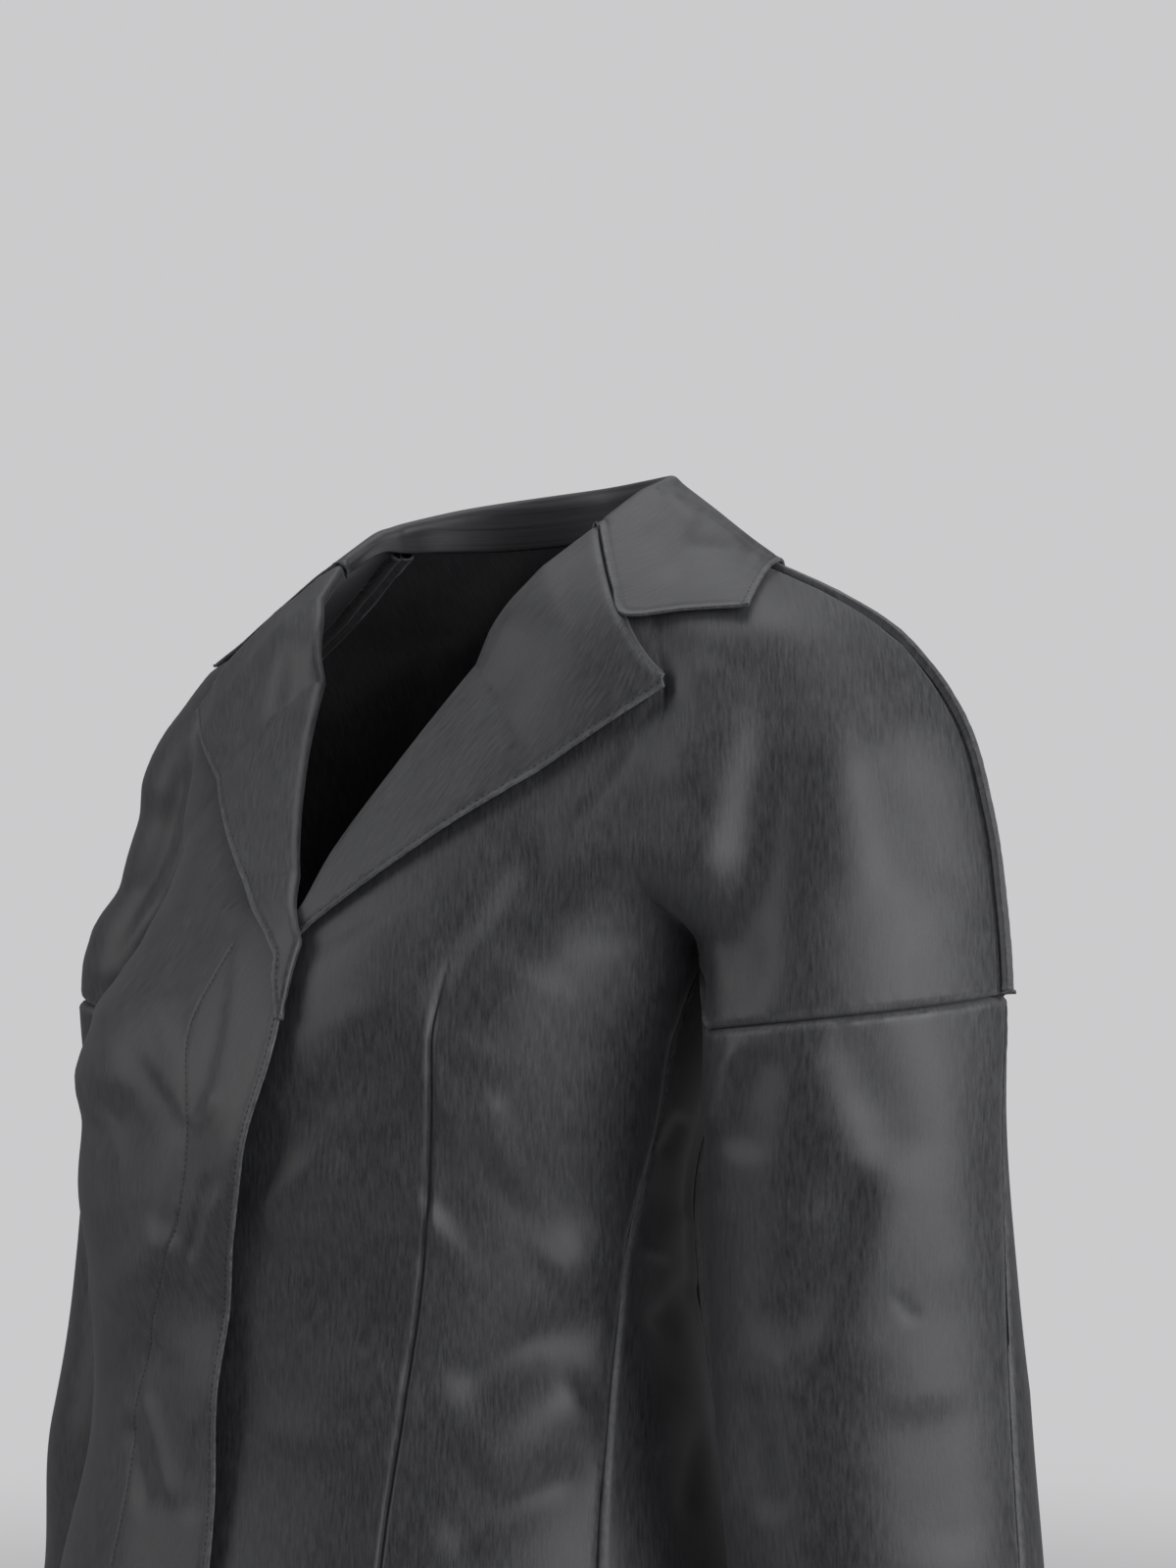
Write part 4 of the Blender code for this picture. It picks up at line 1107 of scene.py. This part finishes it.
def lapel_points(us, v, name):
    """Places and lifts on one row of a lapel: u runs from the roll line to the outer edge."""
    spec = LAPELS[name]
    us = np.asarray(us, float)
    roll_z = mix(spec["top"][1], spec["roll_end"], v)
    roll_x = float(read(ROLL, name, roll_z))
    if v == 0:
        share = np.array([0.0, LAPEL_NOTCH_AT, 1.0])
        x = np.interp(us, share, [roll_x, spec["notch"][0], spec["tip"][0]])
        z = np.interp(us, share, [roll_z, spec["notch"][1], spec["tip"][1]])
    else:
        edge_x, edge_z = (mix(p, q, v) for p, q in zip(spec["tip"], spec["end"]))
        x, z = mix(roll_x, edge_x, us), mix(roll_z, edge_z, us)
    bulge = ROLL_BULGE * bell(us, 0, FOLD_REACH) * (1 - v)
    return x, z, mix(LAPEL_LIFT, LAPEL_END_LIFT, v ** 2) + bulge


def lapel_row(v, us, name, side):
    x, z, lift = lapel_points(np.concatenate([[0.0], us]), v, name)
    squeeze = lift[0] / LAPEL_LIFT
    turn_x = x[0] + np.array(TURN_PROFILE["along"])
    turn_lift = WALL + (np.array(TURN_PROFILE["height"]) - WALL) * squeeze
    x = np.concatenate([turn_x, x[1:]])
    z = np.concatenate([0 * turn_x + z[0], z[1:]])
    return front(x, z, name, side, np.concatenate([turn_lift, lift[1:]]))


def front_edge(z, name, side):
    """Edge of a front on its outer face, at one height."""
    if z > SLIT:
        return front(float(read(ROLL, name, z)), z, name, side, WALL)
    out = lap(0.0, z, name) + WALL
    return moved_out(lambda a, b: ring(a, b, side), edge_angle(z, name, side), z, out, side)


# Length of the lapels' ends below their roll lines, and the share of their size left there.
TAILS = dict(left=(2.6, 0.10), right=(4.2, 0.02))


def lapel_tail(last, name, side):
    """The lapel's lower end, running out into the edge of its front."""
    length, depth = TAILS[name]
    start = front_edge(LAPELS[name]["roll_end"], name, side)
    rows = []
    for t in run(length * 5.0, 1.0)[1:]:
        z = mix(LAPELS[name]["roll_end"], LAPELS[name]["roll_end"] - length, t)
        shrink = 1 - mix(t, t ** 2, 0.4) * (1 - depth)
        rows.append(front_edge(z, name, side) + (last - start) * shrink)
    return rows


LEAF_CELL = 0.2        # spacing of the lapels' points
ROLL_POINTS = 5        # between two knots of the fold


def lapel_sheet(name, side):
    notch = LAPEL_NOTCH_AT
    inner = mix(LEAF_COLUMNS[0], notch, run(5.0, LEAF_CELL))
    outer = mix(notch, 1, run(3.4, LEAF_CELL, LEAF_CELL, FINE))
    us = np.concatenate([inner, outer[1:]])
    rows = run(19.0, LEAF_CELL, FINE, 0.12)
    top = lapel_row(0.0, us, name, side)
    bend = 1.0 / (LAPEL_ROWS - 1)
    below = lapel_row(bend, us, name, side)
    grid = []
    for v in rows:
        if v < bend:
            grid.append(mix(top, below, v / bend))
        else:
            grid.append(lapel_row(v, us, name, side))
    grid = np.array(grid + lapel_tail(grid[-1], name, side))
    turn = len(TURN_PROFILE["along"])
    across = np.linspace(0, turn, ROLL_POINTS * turn, endpoint=False)
    fold = np.concatenate([across, np.arange(turn, grid.shape[1])])
    grid = knots(grid.transpose(1, 0, 2), fold).transpose(1, 0, 2)
    return Sheet("lapel_" + name, [grid], side < 0, [arc(grid, np.zeros(len(grid)))])


def shoulder_height(x, y, name, side):
    """Height of the garment's upper surface over a point of the plan."""
    low, high = -30.0, 0.5
    for _ in range(3):
        z = np.linspace(low, high, 60)
        inside = x < tip(z, name)
        inside &= (front_y(x, z, name, side) < y) & (y < back_y(x, z, name, side))
        if not inside.any():
            return low
        last = int(np.flatnonzero(inside)[-1])
        low, high = z[last], z[min(last + 1, 59)]
    return float(low)


def clear_of_cloth(point, name, side):
    """A point of the leaf, raised and pushed off the shoulder, front and back under it."""
    x = abs(point[0])
    floor = shoulder_height(x, point[1], name, side) + LEAF_CLEAR
    point[2] = float(soft_max(point[2], floor, SOFT_FRONT))
    level = min(point[2], 0.0)
    if point[1] < 0 and x < float(tip(level, name)) - 1.0:
        wall = LEAF_CLEAR - float(front_y(x, level, name, side))
        point[1] = -float(soft_max(-point[1], wall, SOFT_FRONT))
    if point[1] > 0 and x < BACK_OF_NECK:
        wall = float(back_y(x, level, name, side)) + LEAF_CLEAR
        point[1] = float(soft_max(point[1], wall, SOFT_BACK))
    return point


def neck_point(station, name, side):
    """Where the stand is sewn to the neck edge."""
    place = COLLAR["neck"]
    value = np.interp(station, range(len(place)), place)
    if station <= FRONT_STATIONS - 1:
        x = float(read(ROLL, name, value)) - GAP
        return np.array([side * x, float(front_y(x, value, name, side)), value])
    if station < FRONT_STATIONS:
        share = station - (FRONT_STATIONS - 1)
        ends = [neck_point(FRONT_STATIONS - 1, name, side), neck_point(FRONT_STATIONS, name, side)]
        return mix(ends[0], ends[1], share)
    y = float(back_y(value, -0.06, name, side)) - GAP
    rise = BACK_NECK_RISE * (1 - (value / float(tip(-0.06, name))) ** 2)
    return np.array([side * value, y, rise])


def front_border(side, name):
    """Front border of the collar: up the fold, down the gorge seam to the notch, out to the tip."""
    x, z, lift = lapel_points((0.0,) + LAPEL_COLUMNS[:4], 0.0, name)
    turn = np.array(TURN_PROFILE["along"])
    height = WALL + (np.array(TURN_PROFILE["height"]) - WALL) * lift[0] / LAPEL_LIFT
    x = np.concatenate([x[0] + turn, x[1:] + 0.3 * SEAM_STEP])
    z = np.concatenate([z[0] + 0 * turn, z[1:]]) + SEAM_STEP
    border = list(front(x, z, name, side, np.concatenate([height, lift[1:]])))
    corner = np.array([side * COLLAR["edge_x"][0], COLLAR["edge_y"][0], COLLAR["edge_z"][0]])
    border += [mix(border[-1], corner, 0.5), corner]
    return np.array(border)


def collar_row(station, name, side):
    stops = np.arange(len(COLLAR["neck"]))
    here = {key: float(np.interp(station, stops, COLLAR[key])) for key in COLLAR if key != "neck"}
    seam = neck_point(station, name, side)
    crest = np.array([side * here["crest_x"], here["crest_y"], here["crest_z"]])
    edge = np.array([side * here["edge_x"], here["edge_y"], here["edge_z"]])
    up = crest - seam
    up /= np.linalg.norm(up)
    out = edge - crest
    out -= up * out.dot(up)
    out /= np.linalg.norm(out)
    radius = here["fold"]
    centre = crest + out * radius - up * radius
    row = [seam, mix(seam, centre - out * radius, STAND_MIDDLE)]
    for a in np.radians(FOLD_ANGLES):
        row.append(centre + radius * (math.cos(a) * out + math.sin(a) * up))
    leaf = row[-1]
    for t in LEAF_COLUMNS:
        crown = LEAF_CROWN * math.sin(math.pi * t) * min(station / 2, 1)
        row.append(mix(leaf, edge, t) + up * crown)
    row = np.array(row)
    if station < BORDER_REACH:
        row = mix(front_border(side, name), row, float(ease(station / BORDER_REACH)))
    first_leaf = len(row) - len(LEAF_COLUMNS)
    for j in range(first_leaf, len(row)):
        if station > 0 or j >= len(row) - 2:
            row[j] = clear_of_cloth(row[j], name, side)
    return row


COLLAR_CELL = 0.22     # spacing of the collar's points across it
FOLD_KNOTS = 4         # knots from the neck seam over the fold, and points between them
FOLD_POINTS = 26


def collar_sheet():
    left = [collar_row(s, "left", 1) for s in STATIONS]
    right = [collar_row(s, "right", -1) for s in STATIONS[:-1]]
    rows = np.array(left + right[::-1])
    count = len(rows) - 1
    around = count * run(56.0, 0.24, FINE, FINE)
    columns = rows.shape[1] - 1
    leaf = mix(FOLD_KNOTS, columns, run(9.0, COLLAR_CELL, COLLAR_CELL, FINE))
    across = np.concatenate([np.linspace(0, FOLD_KNOTS, FOLD_POINTS, endpoint=False), leaf])
    grid = knots(rows, around)
    grid = knots(grid.transpose(1, 0, 2), across).transpose(1, 0, 2)
    return Sheet("collar", [grid], True, [arc(grid, 0 * around)])


# ---------------------------------------------------------------- creases
# Each line: points, (width on its left, width on its right) as seen when it runs downwards,
# height in millimetres. In the picture's pixels, or on the cloth in centimetres.

PICTURE_LINES = dict(
    front_left=[
        ([(796, 640), (780, 740), (766, 850), (750, 960), (744, 1060)], (36, 44), -6.5),
        ([(726, 665), (706, 740), (700, 820)], (28, 26), 2.2),
        ([(640, 1000), (664, 1030), (690, 1060)], (48, 36), 1.0),
        ([(878, 690), (930, 800), (972, 930)], (48, 41), -2.8),
        ([(850, 700), (868, 800), (880, 930)], (36, 36), 2.0),
        ([(575, 850), (520, 930), (470, 1000), (432, 1062)], (24, 46), -4.6),
        ([(520, 960), (480, 1030), (450, 1080)], (17, 60), 2.3),
        ([(350, 950), (380, 1000), (400, 1050)], (60, 60), 2.0),
        ([(708, 640), (676, 700), (633, 785), (562, 867)], (7, 10), -0.9),
        ([(886, 712), (884, 735), (890, 756)], (5, 6), -0.9),
        ([(356, 1172), (308, 1206), (258, 1252)], (26, 31), 3.8),
        ([(420, 1080), (350, 1110), (290, 1140)], (29, 36), -3.3),
        ([(440, 1240), (380, 1280), (300, 1330)], (43, 48), -3.5),
        ([(520, 1130), (480, 1140), (446, 1148)], (17, 41), 2.5),
        ([(520, 1190), (480, 1220), (440, 1250)], (41, 41), -3.2),
        ([(632, 1262), (590, 1285), (556, 1310)], (31, 36), 3.2),
        ([(616, 1345), (540, 1375), (452, 1432)], (29, 36), -4.2),
        ([(606, 1410), (540, 1450), (470, 1500)], (36, 46), 4.2),
        ([(612, 1500), (540, 1530), (440, 1585)], (26, 31), -3.3),
        ([(390, 1370), (350, 1430), (330, 1500)], (48, 55), 2.9),
    ],
    side_panel_left=[
        ([(698, 1135), (684, 1158), (668, 1182)], (9, 12), -1.6),
        ([(690, 1230), (672, 1262), (660, 1290)], (24, 22), 2.3),
        ([(706, 1300), (686, 1332), (660, 1362)], (14, 19), -2.5),
        ([(700, 1400), (680, 1440), (664, 1490)], (24, 24), 2.0),
        ([(716, 1440), (704, 1500), (696, 1560)], (12, 12), -1.7),
    ],
    front_right=[
        ([(150, 950), (132, 1000), (114, 1040), (100, 1080), (90, 1120), (84, 1170)], (40, 60), 2.0),
        ([(118, 900), (106, 975), (101, 1000), (101, 1022), (100, 1060), (95, 1100), (88, 1150)],
         (30, 50), 8.0),
        ([(236, 650), (222, 680), (196, 715), (172, 757), (155, 800), (143, 840)], (30, 34), 5.0),
        ([(260, 935), (248, 969), (243, 1013), (239, 1051), (232, 1082), (223, 1118), (212, 1147)],
         (8, 17), 1.4),
        ([(202, 690), (183, 748), (169, 778), (157, 813), (138, 863), (107, 922), (92, 978)],
         (14, 17), 2.0),
        ([(206, 754), (195, 783), (183, 819), (172, 860), (160, 889), (145, 916), (131, 951),
          (114, 995)], (19, 11), -3.2),
        ([(215, 700), (204, 780), (190, 860), (160, 930), (140, 985)], (10, 31), 1.9),
        ([(190, 1035), (150, 1040), (108, 1045)], (31, 41), 2.8),
        ([(180, 1110), (140, 1130), (104, 1145)], (36, 36), -3.2),
        ([(183, 1252), (140, 1300), (100, 1345)], (26, 29), 3.2),
        ([(170, 1360), (140, 1390), (112, 1420)], (24, 24), -2.3),
        ([(88, 1290), (93, 1350), (96, 1415)], (5, 7), 1.1),
        ([(112, 1140), (110, 1180), (104, 1230)], (8, 10), -1.1),
        ([(146, 1412), (160, 1460), (171, 1500), (180, 1545)], (6, 9), 1.7),
        ([(132, 1440), (146, 1500), (150, 1550)], (10, 9), -1.6),
        ([(196, 1150), (214, 1138), (226, 1110)], (8, 9), 1.6),
        ([(222, 1205), (212, 1260), (204, 1310)], (6, 9), 1.5),
        ([(214, 1195), (205, 1240), (196, 1290)], (6, 8), -1.4),
        ([(206, 1440), (200, 1500), (196, 1560)], (6, 7), -1.1),
    ],
    lapel_left=[
        ([(640, 600), (560, 700), (470, 800), (400, 870)], (36, 31), 0.9),
        ([(600, 600), (540, 670), (480, 735)], (17, 19), -0.7),
    ],
    lapel_right=[
        ([(301, 598), (290, 612), (291, 640), (286, 673), (281, 704), (268, 760), (240, 830)],
         (19, 14), 1.9),
        ([(214, 776), (224, 772), (236, 768)], (5, 5), -0.9),
        ([(226, 760), (240, 755), (252, 752)], (5, 5), 0.8),
        ([(305, 640), (300, 720), (292, 800)], (12, 10), -1.1),
        ([(252, 880), (262, 850), (276, 830)], (10, 12), -0.9),
    ],
    collar=[
        ([(690, 551), (713, 559), (744, 563), (780, 573)], (8, 8), -1.1),
        ([(675, 501), (692, 520), (713, 544)], (9, 9), 0.9),
        ([(652, 540), (680, 560), (700, 600)], (17, 17), -0.9),
    ],
    sleeve_front_right=[
        ([(106, 820), (102, 1000), (103, 1050), (105, 1120), (103, 1200), (96, 1270), (85, 1360),
          (72, 1440), (60, 1510), (46, 1620)], (40, 44), 10.0),
    ],
    sleeve_front_left=[
        ([(760, 1056), (744, 1090), (733, 1128), (724, 1160)], (10, 12), 2.2),
        ([(790, 1060), (770, 1120), (752, 1190)], (19, 24), -2.3),
        ([(820, 1040), (846, 1110), (872, 1165), (888, 1210)], (42, 30), 2.0),
        ([(850, 1046), (876, 1104), (906, 1198)], (28, 36), -2.2),
        ([(912, 1160), (903, 1236), (892, 1276), (872, 1323), (840, 1420)], (30, 50), 2.6),
        ([(872, 1180), (850, 1250), (828, 1310), (796, 1390)], (34, 34), -3.0),
        ([(796, 1376), (808, 1430), (820, 1490)], (5, 9), 1.1),
        ([(738, 1446), (744, 1490), (752, 1560)], (6, 8), 1.6),
        ([(912, 1318), (922, 1336), (934, 1352)], (5, 7), -0.9),
        ([(760, 1400), (772, 1470), (790, 1560)], (17, 19), -2.0),
        ([(960, 1060), (972, 1200), (985, 1350)], (43, 36), 1.4),
        ([(930, 1420), (945, 1500), (955, 1600)], (48, 48), -1.9),
    ],
)
CLOTH_LINES = dict(
    back=[
        ([(-12, -16), (-10, -26), (-9, -34)], (2, 2), -2.5),
        ([(12, -16), (10, -26), (8.5, -34)], (2, 2), -2.2),
        ([(-2, -34), (1, -44), (0, -56)], (3, 3), 2.0),
        ([(-10, -30), (-2, -33), (6, -31.5)], (1.2, 1.2), -1.6),
        ([(10, -36), (3, -38.5), (-5, -37)], (1.2, 1.2), 1.4),
    ],
)


# ---------------------------------------------------------------- the garment

CLOTH = ((0.036, 0.0365, 0.041), (0.125, 0.127, 0.134))        # its colour, and where it is worn
COLLAR_CLOTH = ((0.037, 0.0375, 0.042), (0.13, 0.132, 0.139))
SATINS = {slot: satin(slot, *CLOTH) for slot in ("front_satin", "back_satin", "sleeve_satin")}
SATINS["collar_satin"] = satin("collar_satin", *COLLAR_CLOTH)
THREAD = thread_material("thread", (0.035, 0.036, 0.040))

# Kinds of seam and edge, in millimetres.
OVERARM = dict(dip=0.6, wide=1.1, across=(0, 1, 0))
ROUND_ARM = dict(dip=2.0, pucker=0.5)
SIDE_SEAM = dict(dip=1.4, pucker=0.15)
HEMMED = dict(stitched=20.0, roll=0.2)
DART = dict(deep=2.4, wide=1.0, swell=0.6, swell_at=2.5, swell_wide=2.2, start=0.12)
FLY = dict(deep=0.3, wide=1.0, wave=0.2, wave_wide=5.0)
STITCHES_IN = 0.003    # of the sewn line from an edge, in metres
LAPEL_PITCH = 3.2      # of the stitches round the collar and the lapels


def finish_front(name, side):
    sheet = front_sheet(name, side)
    upper, lower, head = sheet.ids
    sheet.crease()
    sheet.seam(np.concatenate([upper[:, -1], head[1:, -1]]), 1, **OVERARM)
    sheet.seam(head[-1], 2, **ROUND_ARM)
    sheet.seam(lower[:, -1], 3, **SIDE_SEAM)
    sheet.edge(head[:, 0], 4, stitched=0, roll=1.5)
    sheet.edge(lower[:, 0], 5)
    sheet.edge(lower[-1], 6, **HEMMED)
    _, mm, s = sheet.along(sheet.sewn, 0.02)
    along = s / s.max()
    if name == "left":
        sewn = ease(along / DART["start"])
        dip = 0.001 * DART["deep"] * bell(mm, 0, DART["wide"]) * sewn
        sheet.groove = np.maximum(sheet.groove, dip)
        sheet.height += 0.001 * DART["swell"] * bell(mm, DART["swell_at"], DART["swell_wide"]) * sewn
    else:
        sheet.height -= 0.001 * FLY["deep"] * bell(mm, 0, FLY["wide"])
        wave = waver(along * 420, 0.8, 3) * bell(mm, 0, FLY["wave_wide"])
        sheet.height += 0.001 * FLY["wave"] * wave
    sheet.settle()
    sheet.build("front_satin")
    if name == "right":
        fly = (sheet.points[sheet.sewn], sheet.normals[sheet.sewn])
        rows = [fly, sheet.inset(lower, STITCHES_IN)]
        sheet.threads = [stitches(sheet.name + "_stitches", rows)]
    return sheet


def finish_back():
    sheet = back_sheet()
    sheet.crease()
    for k in range(len(SIDES)):
        upper, lower, head = (ids[:, ::-1] if k else ids for ids in sheet.ids[3 * k:3 * k + 3])
        sheet.seam(np.concatenate([upper[:, -1], head[1:, -1]]), 11 + k, **OVERARM)
        sheet.seam(head[-1], 13 + k, **ROUND_ARM)
        sheet.seam(lower[:, -1], 15 + k, **SIDE_SEAM)
        sheet.edge(head[:, 0], 17 + k, stitched=0, roll=0.6)
        sheet.edge(lower[-1], 19 + k, **HEMMED)
    sheet.settle()
    sheet.build("back_satin")
    return sheet


def finish_side(name, side):
    sheet = side_sheet(name, side)
    grid = sheet.ids[0]
    sheet.crease()
    sheet.seam(grid[:, 0], 21, **SIDE_SEAM)
    sheet.seam(grid[:, -1], 22, **SIDE_SEAM)
    sheet.edge(grid[-1], 23, **HEMMED)
    sheet.settle()
    sheet.build("front_satin")
    return sheet


def finish_sleeve(name, side, half):
    sheet = sleeve_sheet(name, side, half)
    grid = sheet.ids[0]
    sheet.crease()
    sheet.seam(grid[0], 31, dip=2.0, pucker=0.6)
    sheet.seam(grid[:, 0], 32)
    sheet.seam(grid[:, -1], 33)
    sheet.edge(grid[-1], 34, stitched=18.0, roll=0.2)
    sheet.settle()
    sheet.build("sleeve_satin")
    return sheet


def finish_leaf(sheet):
    """Settles a lapel or the collar, and sews round its outer edge."""
    sheet.settle()
    rows = [sheet.inset(sheet.ids[0][:, ::-1], STITCHES_IN)]
    sheet.build("collar_satin")
    name = sheet.name + "_stitches"
    sheet.threads = [stitches(name, rows, pitch=LAPEL_PITCH)]
    return sheet


def finish_lapel(name, side):
    sheet = lapel_sheet(name, side)
    grid = sheet.ids[0]
    sheet.crease()
    notch = int(np.argmax(np.linalg.norm(np.diff(sheet.points[grid[0]], 2, axis=0), axis=1))) + 1
    sheet.seam(grid[0][:notch], 41, dip=0.7, pucker=0.1)
    sheet.edge(grid[0][notch:], 42)
    sheet.edge(grid[:, -1], 43)
    return finish_leaf(sheet)


def finish_collar():
    sheet = collar_sheet()
    grid = sheet.ids[0]
    sheet.crease()
    sheet.edge(grid[:, -1], 51)
    sheet.edge(grid[0], 52, pucker=0.15)
    sheet.edge(grid[-1], 53, pucker=0.15)
    return finish_leaf(sheet)


made = {}
for name, side in SIDES:
    made["front_" + name] = finish_front(name, side)
    made["side_panel_" + name] = finish_side(name, side)
    made["sleeve_front_" + name] = finish_sleeve(name, side, "front")
    made["sleeve_back_" + name] = finish_sleeve(name, side, "back")
    made["lapel_" + name] = finish_lapel(name, side)
made["back"] = finish_back()
made["collar"] = finish_collar()

# Cut of what shows of each piece, without seam and hem allowances: width, length and area.
CUTS = dict(
    front=((0.40, 0.64), 0.146, "hung", ["back", "collar"]),
    back=((0.66, 0.64), 0.256, "hung", ["collar"]),
    side_panel=((0.13, 0.42), 0.051, "hung", ["back"]),
    sleeve_front=((0.22, 0.40), 0.082, "hung", ["front"]),
    sleeve_back=((0.21, 0.40), 0.071, "hung", ["back"]),
    lapel=((0.11, 0.25), 0.015, "folded", ["front"]),
    collar=((0.60, 0.14), 0.041, "folded", ["back"]),
)
for name, sheet in made.items():
    kind, _, hand = name.rpartition("_") if name.endswith(("left", "right")) else (name, "", "")
    size, area, held, rests = CUTS[kind]
    under = [n if n in made else f"{n}_{hand}" for n in rests]
    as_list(sheet.threads)

# ---------------------------------------------------------------- stage, light and camera

FLOOR_Z = -1.40
FLOOR_RADIUS = 14.0
FLOOR_COLOUR = (0.62, 0.62, 0.625, 1)
FLOOR_FADE = (1.8, 5.0)                    # distances over which it turns into the background
BACKGROUND = (0.60, 0.595, 0.605)
AMBIENT = 0.15         # of the background's brightness, for all but what is seen directly
LIT = (0.0, 0.0, -0.25)                    # where the lights point


def studio_glow(graph, shader):
    """Seen directly the surroundings are pale; they light the garment much less."""
    direct = graph.add("LightPath", "Is Camera Ray", {})
    strength = graph.remap(direct, AMBIENT, 1.0, 0.0, 1.0)
    graph.feed(shader, {"Strength": strength, "Color": (*BACKGROUND, 1)})


def make_floor():
    bpy.ops.mesh.primitive_circle_add(vertices=96, radius=FLOOR_RADIUS, fill_type="NGON",
                                      location=(0, 0, FLOOR_Z))
    floor = bpy.context.object
    floor.name = "floor"
    material = bpy.data.materials.new("floor")
    graph = Graph(material)
    shader = graph.nodes["Principled BSDF"]
    graph.feed(shader, {"Base Color": FLOOR_COLOUR, "Roughness": 0.9, "Specular IOR Level": 0.1})
    glow = graph.nodes.new("ShaderNodeEmission")
    studio_glow(graph, glow)
    place = graph.add("NewGeometry", "Position", {})
    length = graph.add("VectorMath", "Value", {0: place}, operation="LENGTH")
    far = graph.add("MapRange", "Result", {"Value": length, "From Min": FLOOR_FADE[0],
                                           "From Max": FLOOR_FADE[1]},
                    interpolation_type="SMOOTHSTEP")
    mixed = graph.add("MixShader", "Shader", {"Fac": far, 1: shader.outputs["BSDF"],
                                              2: glow.outputs["Emission"]})
    graph.feed(graph.nodes["Material Output"], {"Surface": mixed})
    floor.data.materials.append(material)


def make_light(name, place, size, power):
    data = bpy.data.lights.new(name, "AREA")
    data.shape = "RECTANGLE"
    data.size, data.size_y = size
    data.energy = power
    light = bpy.data.objects.new(name, data)
    light.location = place
    light.rotation_euler = (Vector(LIT) - Vector(place)).to_track_quat("-Z", "Y").to_euler()
    bpy.context.scene.collection.objects.link(light)


def at(right, ahead, height):
    """Place given from the camera's own right and ahead directions, in metres."""
    return tuple(RIGHT * right + AHEAD * ahead + np.array([0, 0, height]))


make_floor()
world = bpy.data.worlds.new("studio")
bpy.context.scene.world = world
surroundings = Graph(world)
studio_glow(surroundings, surroundings.nodes["Background"])
make_light("ceiling", at(-0.1, 0.2, 1.9), (2.2, 1.6), 17)
make_light("window", at(1.6, -1.25, 0.30), (1.3, 2.0), 30)
make_light("front", at(0.75, -1.85, 0.0), (0.8, 1.4), 6)
make_light("side", at(-1.9, -0.35, 0.35), (1.0, 2.0), 12)

camera = bpy.data.objects.new("camera", bpy.data.cameras.new("camera"))
bpy.context.scene.collection.objects.link(camera)
camera.data.sensor_fit = "VERTICAL"
camera.data.sensor_height = camera.data.sensor_width = SENSOR_MM
camera.data.lens = LENS_PX * SENSOR_MM / FRAME_SIZE[1]
camera.location = EYE
camera.rotation_euler = Vector(LOOK).to_track_quat("-Z", "Y").to_euler()
camera.data.clip_start = 0.05
bpy.context.scene.camera = camera
bpy.context.scene.view_settings.view_transform = "Standard"
